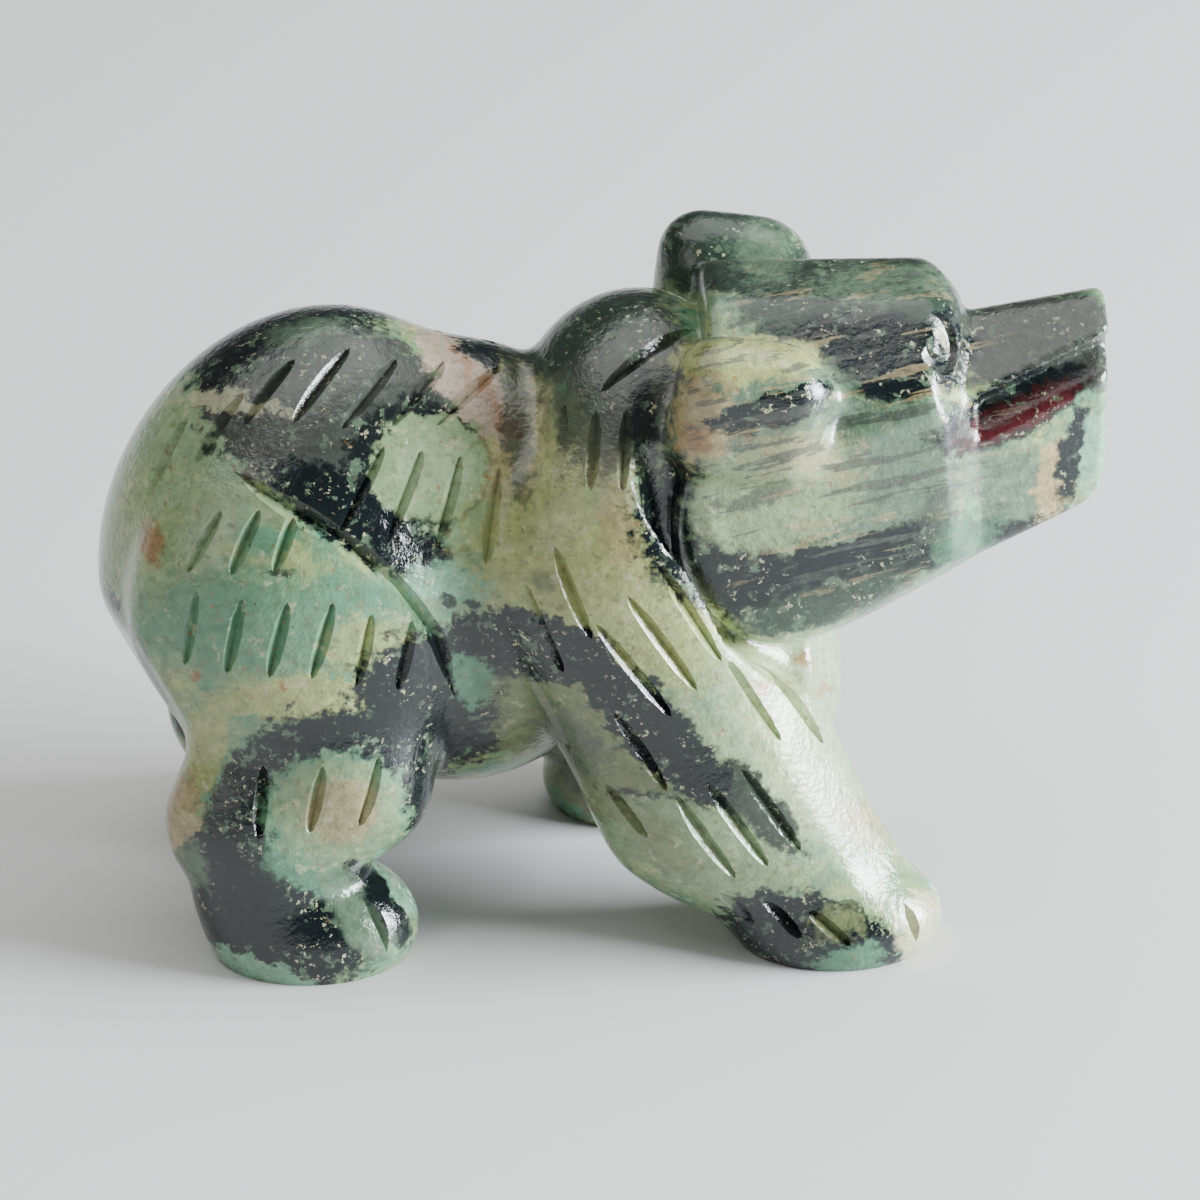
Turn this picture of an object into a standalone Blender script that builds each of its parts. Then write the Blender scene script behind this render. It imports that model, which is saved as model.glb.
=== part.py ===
"""A walking bear carved from one piece of banded jasper, for Blender 4.5.

The stone is modelled the way a carver works it. Rounded masses are run together with
soft fillets, flats and hollows are ground into them, and the lines of fur, mouth and
toes are then cut with a small grinding wheel. Lengths are in metres and +Z is up. The
bear looks along +X, and its right flank is on the -Y side.

The masses are given in shares of the bear's length, measured from the rump at 0 to the
tip of the nose at 1, with 0 for the ground and for the middle plane.
"""

import math

import bmesh
import bpy
from mathutils import Matrix, Vector
from mathutils.bvhtree import BVHTree

# Driving dimensions
LENGTH = 0.052
VOXEL = 0.00040
TRIANGLES = 9600
STROKE_WIDTH = 0.00065
STROKE_DEPTH = 0.00038
CREASE_WIDTH = 0.00095
CREASE_DEPTH = 0.00046
LINE_WIDTH = 0.00065
LINE_DEPTH = 0.00042
EYE_RADIUS = 0.00120
EYE_GROOVE = 0.00050

# The clay is looked at inside this box, in shares of the length
SPAN_LOW = (-0.04, -0.27, -0.08)
SPAN_HIGH = (1.04, 0.27, 0.74)

# How far the front paws stand ahead of the shoulders
RIGHT_REACH = 0.11
LEFT_REACH = -0.07

# The eye, on the bevel between brow, cheek and muzzle
EYE = (0.829, 0.080, 0.635)
EYE_AIM = (0.80, 0.45, 0.39)

# The line that parts the haunch from the flank, from the rump to the front of the knee
HAUNCH_LINE = ((0.135, 0.540), (0.182, 0.520), (0.240, 0.486), (0.295, 0.432), (0.334, 0.366), (0.354, 0.280))

# Rows of fur strokes as seen from the side: first stroke's middle, step to the next one,
# number of strokes, lean from the level in degrees, change of lean, and length
FUR = (
    ((0.076, 0.532), (0.049, 0.034), 3, 60, -8, 0.076),
    ((0.226, 0.609), (0.048, -0.009), 4, 40, -5, 0.090),
    ((0.263, 0.524), (0.042, -0.013), 4, 56, 8, 0.088),
    ((0.108, 0.480), (0.040, 0.004), 3, 60, 4, 0.064),
    ((0.092, 0.392), (0.043, -0.002), 4, 80, -2, 0.076),
    ((0.262, 0.372), (0.041, -0.014), 2, 78, 0, 0.070),
    ((0.157, 0.205), (0.054, 0.006), 3, 84, -5, 0.070),
    ((0.436, 0.382), (0.028, 0.046), 2, -67, -2, 0.092),
    ((0.524, 0.346), (0.028, 0.030), 3, -55, -3, 0.118),
    ((0.444, 0.276), (0.088, -0.024), 2, -66, 8, 0.090),
    ((0.595, 0.158), (0.033, 0.014), 3, -58, 0, 0.104),
    ((0.478, 0.172), (0.040, 0.006), 2, -52, 0, 0.062),
    ((0.628, 0.068), (0.046, -0.008), 3, -50, 5, 0.050),
    ((0.458, 0.552), (0.030, 0.003), 3, 76, 4, 0.074),
    ((0.643, 0.300), (0.047, -0.024), 2, -60, 0, 0.100),
    ((0.545, 0.628), (0.000, 0.000), 1, 18, 0, 0.110),
)


HALF = Vector((LENGTH / 2, 0, 0))


class Clay:
    """Distances to rounded masses, as nodes of a geometry node tree."""

    def __init__(self, tree):
        self.tree = tree
        position = tree.nodes.new("GeometryNodeInputPosition").outputs[0]
        shares = self.vector("SCALE", position, scale=1 / LENGTH)
        self.place = self.vector("ADD", shares, (0.5, 0, 0))
        split = self.node("ShaderNodeSeparateXYZ", self.place)
        fold = self.tree.nodes.new("ShaderNodeCombineXYZ")
        self.link(split.outputs[0], fold.inputs[0])
        self.link(self.number("ABSOLUTE", split.outputs[1]), fold.inputs[1])
        self.link(split.outputs[2], fold.inputs[2])
        self.folded = fold.outputs[0]

    def link(self, source, socket):
        if isinstance(source, bpy.types.NodeSocket):
            self.tree.links.new(source, socket)
        else:
            socket.default_value = source

    def node(self, kind, *sources):
        node = self.tree.nodes.new(kind)
        for source, socket in zip(sources, node.inputs):
            self.link(source, socket)
        return node

    def number(self, operation, *sources):
        node = self.node("ShaderNodeMath", *sources)
        node.operation = operation
        return node.outputs[0]

    def vector(self, operation, *sources, scale=None):
        node = self.node("ShaderNodeVectorMath", *sources)
        node.operation = operation
        if scale is not None:
            self.link(scale, node.inputs["Scale"])
        out = "Value" if operation in ("LENGTH", "DOT_PRODUCT", "DISTANCE") else "Vector"
        return node.outputs[out]

    def local(self, centre, turn, paired):
        """The point as a mass sees it, from its own centre and along its own axes."""
        place = self.folded if paired else self.place
        point = self.vector("SUBTRACT", place, centre)
        if any(turn):
            node = self.tree.nodes.new("ShaderNodeVectorRotate")
            node.rotation_type = "EULER_XYZ"
            node.invert = True
            self.link(point, node.inputs["Vector"])
            node.inputs["Rotation"].default_value = [math.radians(a) for a in turn]
            point = node.outputs[0]
        return point

    def egg(self, centre, radii, turn=(0, 0, 0), paired=False):
        point = self.local(centre, turn, paired)
        reach = self.vector("LENGTH", self.vector("DIVIDE", point, radii))
        slope = self.vector("LENGTH", self.vector("DIVIDE", point, [r * r for r in radii]))
        rise = self.number("MULTIPLY", reach, self.number("SUBTRACT", reach, 1.0))
        return self.number("DIVIDE", rise, self.number("MAXIMUM", slope, 1e-4))

    def limb(self, start, end, start_radius, end_radius, breadth=1.0, paired=False):
        """A tapered rod with round ends, breadth times as thick across Y as it is in XZ."""
        a = Vector((start[0], start[1] / breadth, start[2]))
        b = Vector((end[0], end[1] / breadth, end[2]))
        place = self.folded if paired else self.place
        place = self.vector("DIVIDE", place, (1, breadth, 1))
        point = self.vector("SUBTRACT", place, a)
        along = self.vector("DOT_PRODUCT", point, tuple((b - a) / (b - a).length_squared))
        share = self.number("MINIMUM", self.number("MAXIMUM", along, 0.0), 1.0)
        foot = self.vector("SCALE", tuple(b - a), scale=share)
        gap = self.vector("LENGTH", self.vector("SUBTRACT", point, foot))
        radius = self.number("MULTIPLY_ADD", share, end_radius - start_radius, start_radius)
        return self.number("MULTIPLY", self.number("SUBTRACT", gap, radius), min(1.0, breadth))

    def block(self, centre, half, turn=(0, 0, 0), rounding=0.02, paired=False):
        """A box with rounded edges."""
        point = self.local(centre, turn, paired)
        inner = tuple(h - rounding for h in half)
        q = self.vector("SUBTRACT", self.vector("ABSOLUTE", point), inner)
        outside = self.vector("LENGTH", self.vector("MAXIMUM", q, (0, 0, 0)))
        split = self.node("ShaderNodeSeparateXYZ", q)
        inside = self.number("MAXIMUM", split.outputs[0], split.outputs[1])
        inside = self.number("MINIMUM", self.number("MAXIMUM", inside, split.outputs[2]), 0.0)
        return self.number("SUBTRACT", self.number("ADD", outside, inside), rounding)

    def flat(self, point, normal, paired=False):
        """A half space: everything behind a plane whose normal points out of the stone."""
        place = self.folded if paired else self.place
        n = Vector(normal).normalized()
        shifted = self.vector("SUBTRACT", place, point)
        return self.vector("DOT_PRODUCT", shifted, tuple(n))

    def join(self, blend, *masses):
        whole = masses[0]
        for mass in masses[1:]:
            whole = self.number("SMOOTH_MIN", whole, mass, blend)
        return whole

    def trim(self, blend, mass, *flats):
        for flat in flats:
            mass = self.number("SMOOTH_MAX", mass, flat, blend)
        return mass

    def carve(self, blend, mass, *tools):
        for tool in tools:
            mass = self.number("SMOOTH_MAX", mass, self.number("MULTIPLY", tool, -1.0), blend)
        return mass


def seat(clay):
    """The flats ground behind the haunches."""
    return clay.flat((0.050, 0.115, 0.315), (-0.80, 0.30, -0.39), paired=True)


def trunk(clay):
    rump = clay.egg((0.1995, 0, 0.408), (0.188, 0.175, 0.238), (0, 27, 0))
    loin = clay.egg((0.355, 0, 0.363), (0.20, 0.155, 0.238))
    back = clay.join(0.05, rump, loin)
    chest = clay.egg((0.545, 0, 0.37), (0.175, 0.165, 0.21))
    hump = clay.egg((0.541, 0, 0.495), (0.13, 0.155, 0.15))
    front = clay.join(0.04, chest, hump)
    front = clay.trim(0.03, front, clay.flat((0.664, 0.170, 0.299), (0.75, 0.60, 0.27), paired=True))
    breast = clay.egg((0.628, 0, 0.275), (0.108, 0.12, 0.17), (0, -22, 0))
    return clay.join(0.02, clay.trim(0.01, back, seat(clay)), clay.join(0.03, front, breast))


def hind_leg(clay, side, hock_height):
    y = side * 0.137
    haunch = clay.egg((0.20, side * 0.108, 0.36), (0.165, 0.095, 0.19), (0, -18, 0))
    haunch = clay.trim(0.01, haunch, seat(clay))
    knee = clay.egg((0.243, y * 0.97, 0.205), (0.082, 0.077, 0.095), (0, -30, 0))
    hock = clay.egg((0.165, y, hock_height), (0.105, 0.072, 0.098), (0, 20, 0))
    heel = clay.egg((0.162, y, 0.075), (0.078, 0.070, 0.075))
    foot = clay.egg((0.205, y, 0.028), (0.107, 0.083, 0.075))
    leg = clay.join(0.07, haunch, clay.join(0.05, knee, hock))
    return clay.join(0.02, leg, clay.join(0.03, heel, foot))


def fore_leg(clay, side, reach, wrist_back):
    """The foot stands reach ahead of the shoulder's own line, and the wrist behind it."""
    y = side * 0.142
    shoulder = (0.535, side * 0.105, 0.40)
    elbow = (0.56 + reach * 0.5, side * 0.128, 0.17)
    wrist = (0.62 + reach - wrist_back, y, 0.07)
    upper = clay.limb(shoulder, elbow, 0.165, 0.118, 0.62)
    upper = clay.trim(0.03, upper, clay.flat((0.664, side * 0.170, 0.299), (0.75, side * 0.60, 0.27)))
    lower = clay.limb(elbow, wrist, 0.112, 0.088, 0.74)
    shin = clay.flat((0.617 + 0.7 * reach, side * 0.173, 0.219), (0.78, side * 0.62, 0.25 + 2 * reach))
    lower = clay.trim(0.015, lower, shin)
    foot = clay.egg((0.625 + reach, y, 0.025), (0.105, 0.08, 0.06))
    return clay.join(0.04, clay.join(0.06, upper, lower), foot)


def mouth(clay):
    """The wheel's V cut between the lips, as deep behind as at the tip of the nose."""
    root = Vector((0.868, 0.056, 0.556))
    tip = Vector((1.0, 0.020, 0.605))
    upper_lip = Vector((0.868, 0.091, 0.580))
    lower_lip = Vector((0.868, 0.091, 0.532))
    above = (tip - root).cross(upper_lip - root)
    below = (lower_lip - root).cross(tip - root)
    above = above if above.z > 0 else -above
    below = below if below.z < 0 else -below
    return clay.trim(0.004, clay.flat(root, above, True), clay.flat(root, below, True))


def muzzle(clay):
    nose = clay.block((0.90, 0, 0.53), (0.11, 0.102, 0.15), (0, 0, 0), 0.03)
    nose = clay.trim(
        0.012,
        nose,
        clay.flat((0.87, 0, 0.626), (-0.17, 0, 0.985)),
        clay.flat((0.87, 0.015, 0.624), (-0.145, 0.5, 0.84), paired=True),
        clay.flat((1.0, 0.054, 0.60), (0.27, 0.96, 0), paired=True),
        clay.flat((0.96, 0, 0.424), (0.406, 0, -0.914)),
        clay.flat((1.0, 0, 0.55), (1, 0, 0.0)),
        clay.flat((0.990, 0, 0.443), (0.85, 0, -0.53)),
    )
    nose = clay.trim(0.03, nose, clay.flat((0.867, 0.072, 0.388), (0.40, 0.60, -0.80), paired=True))
    return clay.carve(0.006, nose, mouth(clay))


def jowls(clay):
    """Round behind and below, and cut square in front."""
    block = clay.block((0.735, 0, 0.475), (0.20, 0.160, 0.20), (0, 0, 0), 0.045)
    roll = clay.egg((0.748, 0, 0.488), (0.192, 0.60, 0.168), (0, -24, 0))
    round_behind = clay.trim(0.03, block, roll)
    return clay.trim(0.05, round_behind, clay.flat((0.867, 0.092, 0.403), (0.46, 0.62, -0.70), paired=True))


def ears(clay):
    """Round on top, and leaning out."""
    block = clay.block((0.640, 0.136, 0.594), (0.078, 0.046, 0.075), (-10, 8, 0), 0.045, paired=True)
    return clay.trim(0.02, block, clay.flat((0.700, 0.138, 0.652), (0.62, 0.0, 0.78), paired=True))


def head(clay):
    skull = clay.block((0.735, 0, 0.570), (0.134, 0.15, 0.12), (0, 0, 0), 0.035)
    face = clay.join(0.015, jowls(clay), skull)
    face = clay.trim(
        0.02,
        face,
        clay.flat((0.75, 0, 0.667), (0.02, 0, 1)),
        clay.flat((0.75, 0.054, 0.667), (0, 0.65, 0.76), paired=True),
        clay.flat((0.715, 0, 0.312), (0.406, 0, -0.914)),
        clay.flat((0.867, 0, 0.5), (1, 0, 0.04)),
        clay.flat((0.865, 0.128, 0.5), (0.14, 1, 0.05), paired=True),
        clay.flat((0.846, 0, 0.655), (0.66, 0, 0.75)),
    )
    face = clay.trim(0.006, face, clay.flat((0.852, 0.112, 0.5), (0.80, 0.60, 0.08), paired=True))
    face = clay.trim(0.008, face, clay.flat(EYE, EYE_AIM, paired=True))
    trench = clay.limb((0.690, 0.158, 0.575), (0.812, 0.146, 0.612), 0.026, 0.024, paired=True)
    face = clay.carve(0.008, face, trench)
    return clay.join(0.024, clay.join(0.008, face, muzzle(clay)), ears(clay))


def collar(clay):
    """The round groove behind the ears and the jowls, down to the throat."""
    path = (
        (0.560, 0.125, 0.650),
        (0.554, 0.160, 0.569),
        (0.570, 0.160, 0.465),
        (0.620, 0.156, 0.376),
        (0.695, 0.130, 0.318),
    )
    groove = None
    for start, end in zip(path, path[1:]):
        rod = clay.limb(start, end, 0.029, 0.029, paired=True)
        groove = rod if groove is None else clay.number("MINIMUM", groove, rod)
    return groove


def shape(clay):
    body = clay.join(
        0.03,
        trunk(clay),
        hind_leg(clay, -1, 0.145),
        hind_leg(clay, 1, 0.125),
        fore_leg(clay, -1, RIGHT_REACH, 0.02),
        fore_leg(clay, 1, LEFT_REACH, -0.02),
    )
    body = clay.carve(0.02, body, collar(clay))
    return clay.join(0.006, body, head(clay))


def blocked_out(name):
    """The bear as one closed mesh, before any line is cut in it."""
    tree = bpy.data.node_groups.new(name + "_masses", "GeometryNodeTree")
    tree.interface.new_socket("Geometry", in_out="OUTPUT", socket_type="NodeSocketGeometry")
    clay = Clay(tree)
    cube = tree.nodes.new("GeometryNodeVolumeCube")
    clay.link(clay.number("MULTIPLY", shape(clay), -1.0), cube.inputs["Density"])
    cube.inputs["Background"].default_value = -1.0
    cube.inputs["Min"].default_value = Vector(SPAN_LOW) * LENGTH - HALF
    cube.inputs["Max"].default_value = Vector(SPAN_HIGH) * LENGTH - HALF
    for axis, low, high in zip("XYZ", SPAN_LOW, SPAN_HIGH):
        steps = round((high - low) * LENGTH / VOXEL)
        cube.inputs["Resolution " + axis].default_value = steps
    mesh = clay.node("GeometryNodeVolumeToMesh", cube.outputs[0])
    mesh.resolution_mode = "GRID"
    mesh.inputs["Threshold"].default_value = 0.0
    output = tree.nodes.new("NodeGroupOutput")
    tree.links.new(mesh.outputs[0], output.inputs[0])
    bear = bpy.data.objects.new(name, bpy.data.meshes.new(name))
    bear.modifiers.new("masses", "NODES").node_group = tree
    return bear


def triangles_of(thing):
    """The number of triangles that stand after the modifiers so far."""
    bpy.context.view_layer.update()
    mesh = thing.evaluated_get(bpy.context.evaluated_depsgraph_get()).data
    return sum(len(face.vertices) - 2 for face in mesh.polygons)


class Surface:
    """The blocked out bear, to be felt for with rays."""

    def __init__(self, bear):
        bpy.context.view_layer.update()
        self.tree = BVHTree.FromObject(bear, bpy.context.evaluated_depsgraph_get())

    def touch(self, point, inward, clearance=1.0):
        """The place and outward normal where a ray, started clearance lengths off, meets the bear."""
        inward = Vector(inward).normalized()
        start = Vector(point) * LENGTH - HALF - inward * clearance * LENGTH
        place, normal, _, _ = self.tree.ray_cast(start, inward)
        return place, normal


def gouge(mesh, points, normals, width, depth):
    """Adds one V bar to a bmesh, along points on the surface, pointed at both ends.

    The bar stands out of the stone by the lift, and is width wide where it goes in.
    """
    lift = 0.8 * depth
    widest = width / 2 * (lift + depth) / depth
    rings = []
    last = len(points) - 1
    for i, (point, normal) in enumerate(zip(points, normals)):
        ahead = points[min(i + 1, last)] - points[max(i - 1, 0)]
        across = ahead.cross(normal).normalized()
        swell, sink = (0.15, -0.25) if i in (0, last) else (1.0, 1.0)
        corners = (
            point + normal * lift + across * widest * swell,
            point - normal * depth * sink,
            point + normal * lift - across * widest * swell,
        )
        rings.append([mesh.verts.new(corner) for corner in corners])
    for low, high in zip(rings, rings[1:]):
        for j in range(3):
            k = (j + 1) % 3
            mesh.faces.new((low[j], low[k], high[k], high[j]))
    mesh.faces.new(rings[0][::-1])
    mesh.faces.new(rings[-1])


def straight_stroke(mesh, surface, middle, lean, length, side):
    """One cut of the wheel: a straight bar that lies along the stone and sinks into it."""
    place, normal = surface.touch((middle[0], 0, middle[1]), (0, -side, 0))
    if place is None:
        return
    flat_way = Vector((math.cos(math.radians(lean)), 0, math.sin(math.radians(lean))))
    way = flat_way - Vector((0, 1, 0)) * (flat_way.dot(normal) / normal.y)
    way.normalize()
    half = length * LENGTH / 2
    points = [place + way * half * share for share in (-1, -0.5, 0.5, 1)]
    gouge(mesh, points, [normal] * len(points), STROKE_WIDTH, STROKE_DEPTH)


def followed_line(mesh, surface, path, aim, width, depth):
    """One long cut that follows the stone under a path, felt for along aim."""
    felt = [surface.touch(point, aim) for point in path]
    felt = [(place, normal) for place, normal in felt if place is not None]
    gouge(mesh, [f[0] for f in felt], [f[1] for f in felt], width, depth)


def stride(side, x, z):
    """How far the left front leg is behind the right one at a height."""
    if side < 0 or x < 0.43:
        return 0.0
    return (LEFT_REACH - RIGHT_REACH) * min(max((0.30 - z) / 0.25, 0.0), 1.0)


def fur(surface):
    mesh = bmesh.new()
    for side in (-1, 1):
        for (x, z), (dx, dz), count, lean, change, length in FUR:
            for i in range(count):
                middle = (x + dx * i + stride(side, x, z), z + dz * i)
                straight_stroke(mesh, surface, middle, lean + change * i, length, side)
    return mesh


def toes(mesh, surface, middle, side, turns, clearance):
    """Three cuts that fan out over the front of a paw, down to the ground."""
    centre = Vector((middle, side * 0.140, 0.01))
    for spread in (-38, 0, 38):
        path = []
        for turn in turns:
            rise, aside = math.radians(turn), math.radians(spread)
            out = Vector((math.cos(aside), math.sin(aside), math.tan(rise)))
            path.append(surface.touch(centre, -out, clearance))
        gouge(mesh, [p[0] for p in path], [p[1] for p in path], LINE_WIDTH, LINE_DEPTH)


def lines(surface):
    mesh = bmesh.new()
    for side in (-1, 1):
        path = [(x, 0, z) for x, z in HAUNCH_LINE]
        followed_line(mesh, surface, path, (0, -side, 0), CREASE_WIDTH, CREASE_DEPTH)
        toes(mesh, surface, 0.205, side, (50, 38, 24, 8), 0.13)
    toes(mesh, surface, 0.625 + RIGHT_REACH, -1, (36, 26, 16, 6), 0.16)
    toes(mesh, surface, 0.625 + LEFT_REACH, 1, (36, 26, 16, 6), 0.16)
    return mesh


def eyes(surface):
    """A ring left by a tube drill on each side of the brow."""
    mesh = bmesh.new()
    around, across = 14, 4
    for side in (-1, 1):
        aim = Vector((EYE_AIM[0], side * EYE_AIM[1], EYE_AIM[2])).normalized()
        place, _ = surface.touch((EYE[0], side * EYE[1], EYE[2]), -aim, 0.15)
        level = aim.to_track_quat("Z", "Y").to_matrix()
        rings = []
        for i in range(around):
            turn = 2 * math.pi * i / around
            out = level @ Vector((math.cos(turn), math.sin(turn), 0))
            corners = []
            for j in range(across):
                lean = 2 * math.pi * j / across
                offset = out * math.cos(lean) + aim * math.sin(lean)
                corners.append(mesh.verts.new(place + out * EYE_RADIUS + offset * EYE_GROOVE))
            rings.append(corners)
        for i in range(around):
            low, high = rings[i], rings[(i + 1) % around]
            for j in range(across):
                k = (j + 1) % across
                mesh.faces.new((low[j], low[k], high[k], high[j]))
    return mesh


def as_object(mesh, name, collection):
    bmesh.ops.recalc_face_normals(mesh, faces=mesh.faces)
    data = bpy.data.meshes.new(name)
    mesh.to_mesh(data)
    mesh.free()
    thing = bpy.data.objects.new(name, data)
    collection.objects.link(thing)
    return thing


def cut(bear, tool, name):
    modifier = bear.modifiers.new(name, "BOOLEAN")
    modifier.operation = "DIFFERENCE"
    modifier.solver = "EXACT"
    modifier.object = tool
    tool.hide_render = True
    tool.display_type = "WIRE"


def jasper():
    material = bpy.data.materials.new("jasper")
    material.use_nodes = True
    shader = material.node_tree.nodes["Principled BSDF"]
    shader.inputs["Base Color"].default_value = (0.20, 0.27, 0.20, 1)
    shader.inputs["Roughness"].default_value = 0.15
    return material


def main():
    for leftover in list(bpy.data.objects):
        bpy.data.objects.remove(leftover)
    collection = bpy.data.collections.new("jasper_bear")
    cutters = bpy.data.collections.new("cutters")
    for made in (collection, cutters):
        bpy.context.scene.collection.children.link(made)
    bear = blocked_out("bear")
    collection.objects.link(bear)
    surface = Surface(bear)
    cut(bear, as_object(fur(surface), "fur_strokes", cutters), "fur")
    cut(bear, as_object(lines(surface), "haunch_and_toe_lines", cutters), "lines")
    cut(bear, as_object(eyes(surface), "eye_drill", cutters), "eyes")
    thinner = bear.modifiers.new("fewer_triangles", "DECIMATE")
    thinner.ratio = TRIANGLES / triangles_of(bear)
    thinner.use_collapse_triangulate = True
    ground = bmesh.new()
    bmesh.ops.create_cube(ground, size=1, matrix=Matrix.Diagonal((2 * LENGTH, LENGTH, 0.2 * LENGTH, 1)))
    bmesh.ops.translate(ground, verts=ground.verts, vec=(0, 0, -0.1 * LENGTH))
    cut(bear, as_object(ground, "ground", cutters), "flat_soles")
    bear.data.materials.append(jasper())
    bpy.context.view_layer.update()


main()
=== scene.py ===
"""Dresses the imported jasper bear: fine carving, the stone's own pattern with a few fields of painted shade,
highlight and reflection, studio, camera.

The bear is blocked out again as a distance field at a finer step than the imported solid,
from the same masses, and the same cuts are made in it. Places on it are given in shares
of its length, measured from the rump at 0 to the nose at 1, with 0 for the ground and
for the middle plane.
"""

from __future__ import annotations

import logging
import math
from dataclasses import dataclass
from enum import Enum

import bmesh
import bpy
from mathutils import Matrix, Vector
from mathutils.bvhtree import BVHTree


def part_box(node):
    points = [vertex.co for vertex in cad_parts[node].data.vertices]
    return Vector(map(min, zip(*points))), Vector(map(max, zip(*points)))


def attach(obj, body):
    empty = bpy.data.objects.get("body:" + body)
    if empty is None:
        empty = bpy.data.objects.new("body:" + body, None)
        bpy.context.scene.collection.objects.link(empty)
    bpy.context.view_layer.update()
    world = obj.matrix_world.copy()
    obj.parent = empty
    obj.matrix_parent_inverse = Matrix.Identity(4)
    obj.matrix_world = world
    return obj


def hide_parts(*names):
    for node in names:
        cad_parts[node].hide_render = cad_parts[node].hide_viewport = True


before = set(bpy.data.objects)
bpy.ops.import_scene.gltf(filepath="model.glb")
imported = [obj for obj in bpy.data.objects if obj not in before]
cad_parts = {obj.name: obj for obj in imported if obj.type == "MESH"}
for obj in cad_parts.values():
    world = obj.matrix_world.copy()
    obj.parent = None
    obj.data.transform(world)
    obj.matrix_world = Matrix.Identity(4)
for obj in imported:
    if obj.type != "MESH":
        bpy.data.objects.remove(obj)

Point = tuple[float, float, float]
Pair = tuple[float, float]
Socket = bpy.types.NodeSocket
Source = Socket | float | tuple

VIEW_AZIMUTH = 3.0
VIEW_ELEVATION = 29.0

log = logging.getLogger("jasper_bear")


class Flank(Enum):
    """The bear's two sides, by the sign of Y."""

    RIGHT = -1
    LEFT = 1


@dataclass(frozen=True)
class Scale:
    """The size that every share is a share of.

    Args:
        length: from the rump to the tip of the nose, in metres.
        middle: the place on X that the share 0.5 stands for.
    """

    length: float
    middle: float = 0.0

    def place(self, share: Point | Vector) -> Vector:
        """Returns the point in metres for a point in shares."""
        return Vector(share) * self.length + Vector((self.middle - self.length / 2, 0, 0))


class Nodes:
    """A node tree that is filled in by calls."""

    def __init__(self, tree: bpy.types.NodeTree) -> None:
        """Keeps the tree."""
        self.tree = tree

    def link(self, source: Source, socket: Socket) -> None:
        """Links a socket to another, or gives it a plain value."""
        if isinstance(source, Socket):
            self.tree.links.new(source, socket)
        else:
            socket.default_value = source

    def node(self, kind: str, *sources: Source) -> bpy.types.Node:
        """Returns a new node with its first inputs filled in order."""
        node = self.tree.nodes.new(kind)
        for source, socket in zip(sources, node.inputs):
            self.link(source, socket)
        return node

    def number(self, operation: str, *sources: Source) -> Socket:
        """Returns the result of one step of arithmetic."""
        node = self.node("ShaderNodeMath", *sources)
        node.operation = operation
        return node.outputs[0]

    def vector(self, operation: str, *sources: Source, scale: Source | None = None) -> Socket:
        """Returns the result of one step of vector arithmetic."""
        node = self.node("ShaderNodeVectorMath", *sources)
        node.operation = operation
        if scale is not None:
            self.link(scale, node.inputs["Scale"])
        return node.outputs["Value" if operation in ("LENGTH", "DOT_PRODUCT") else "Vector"]


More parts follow.
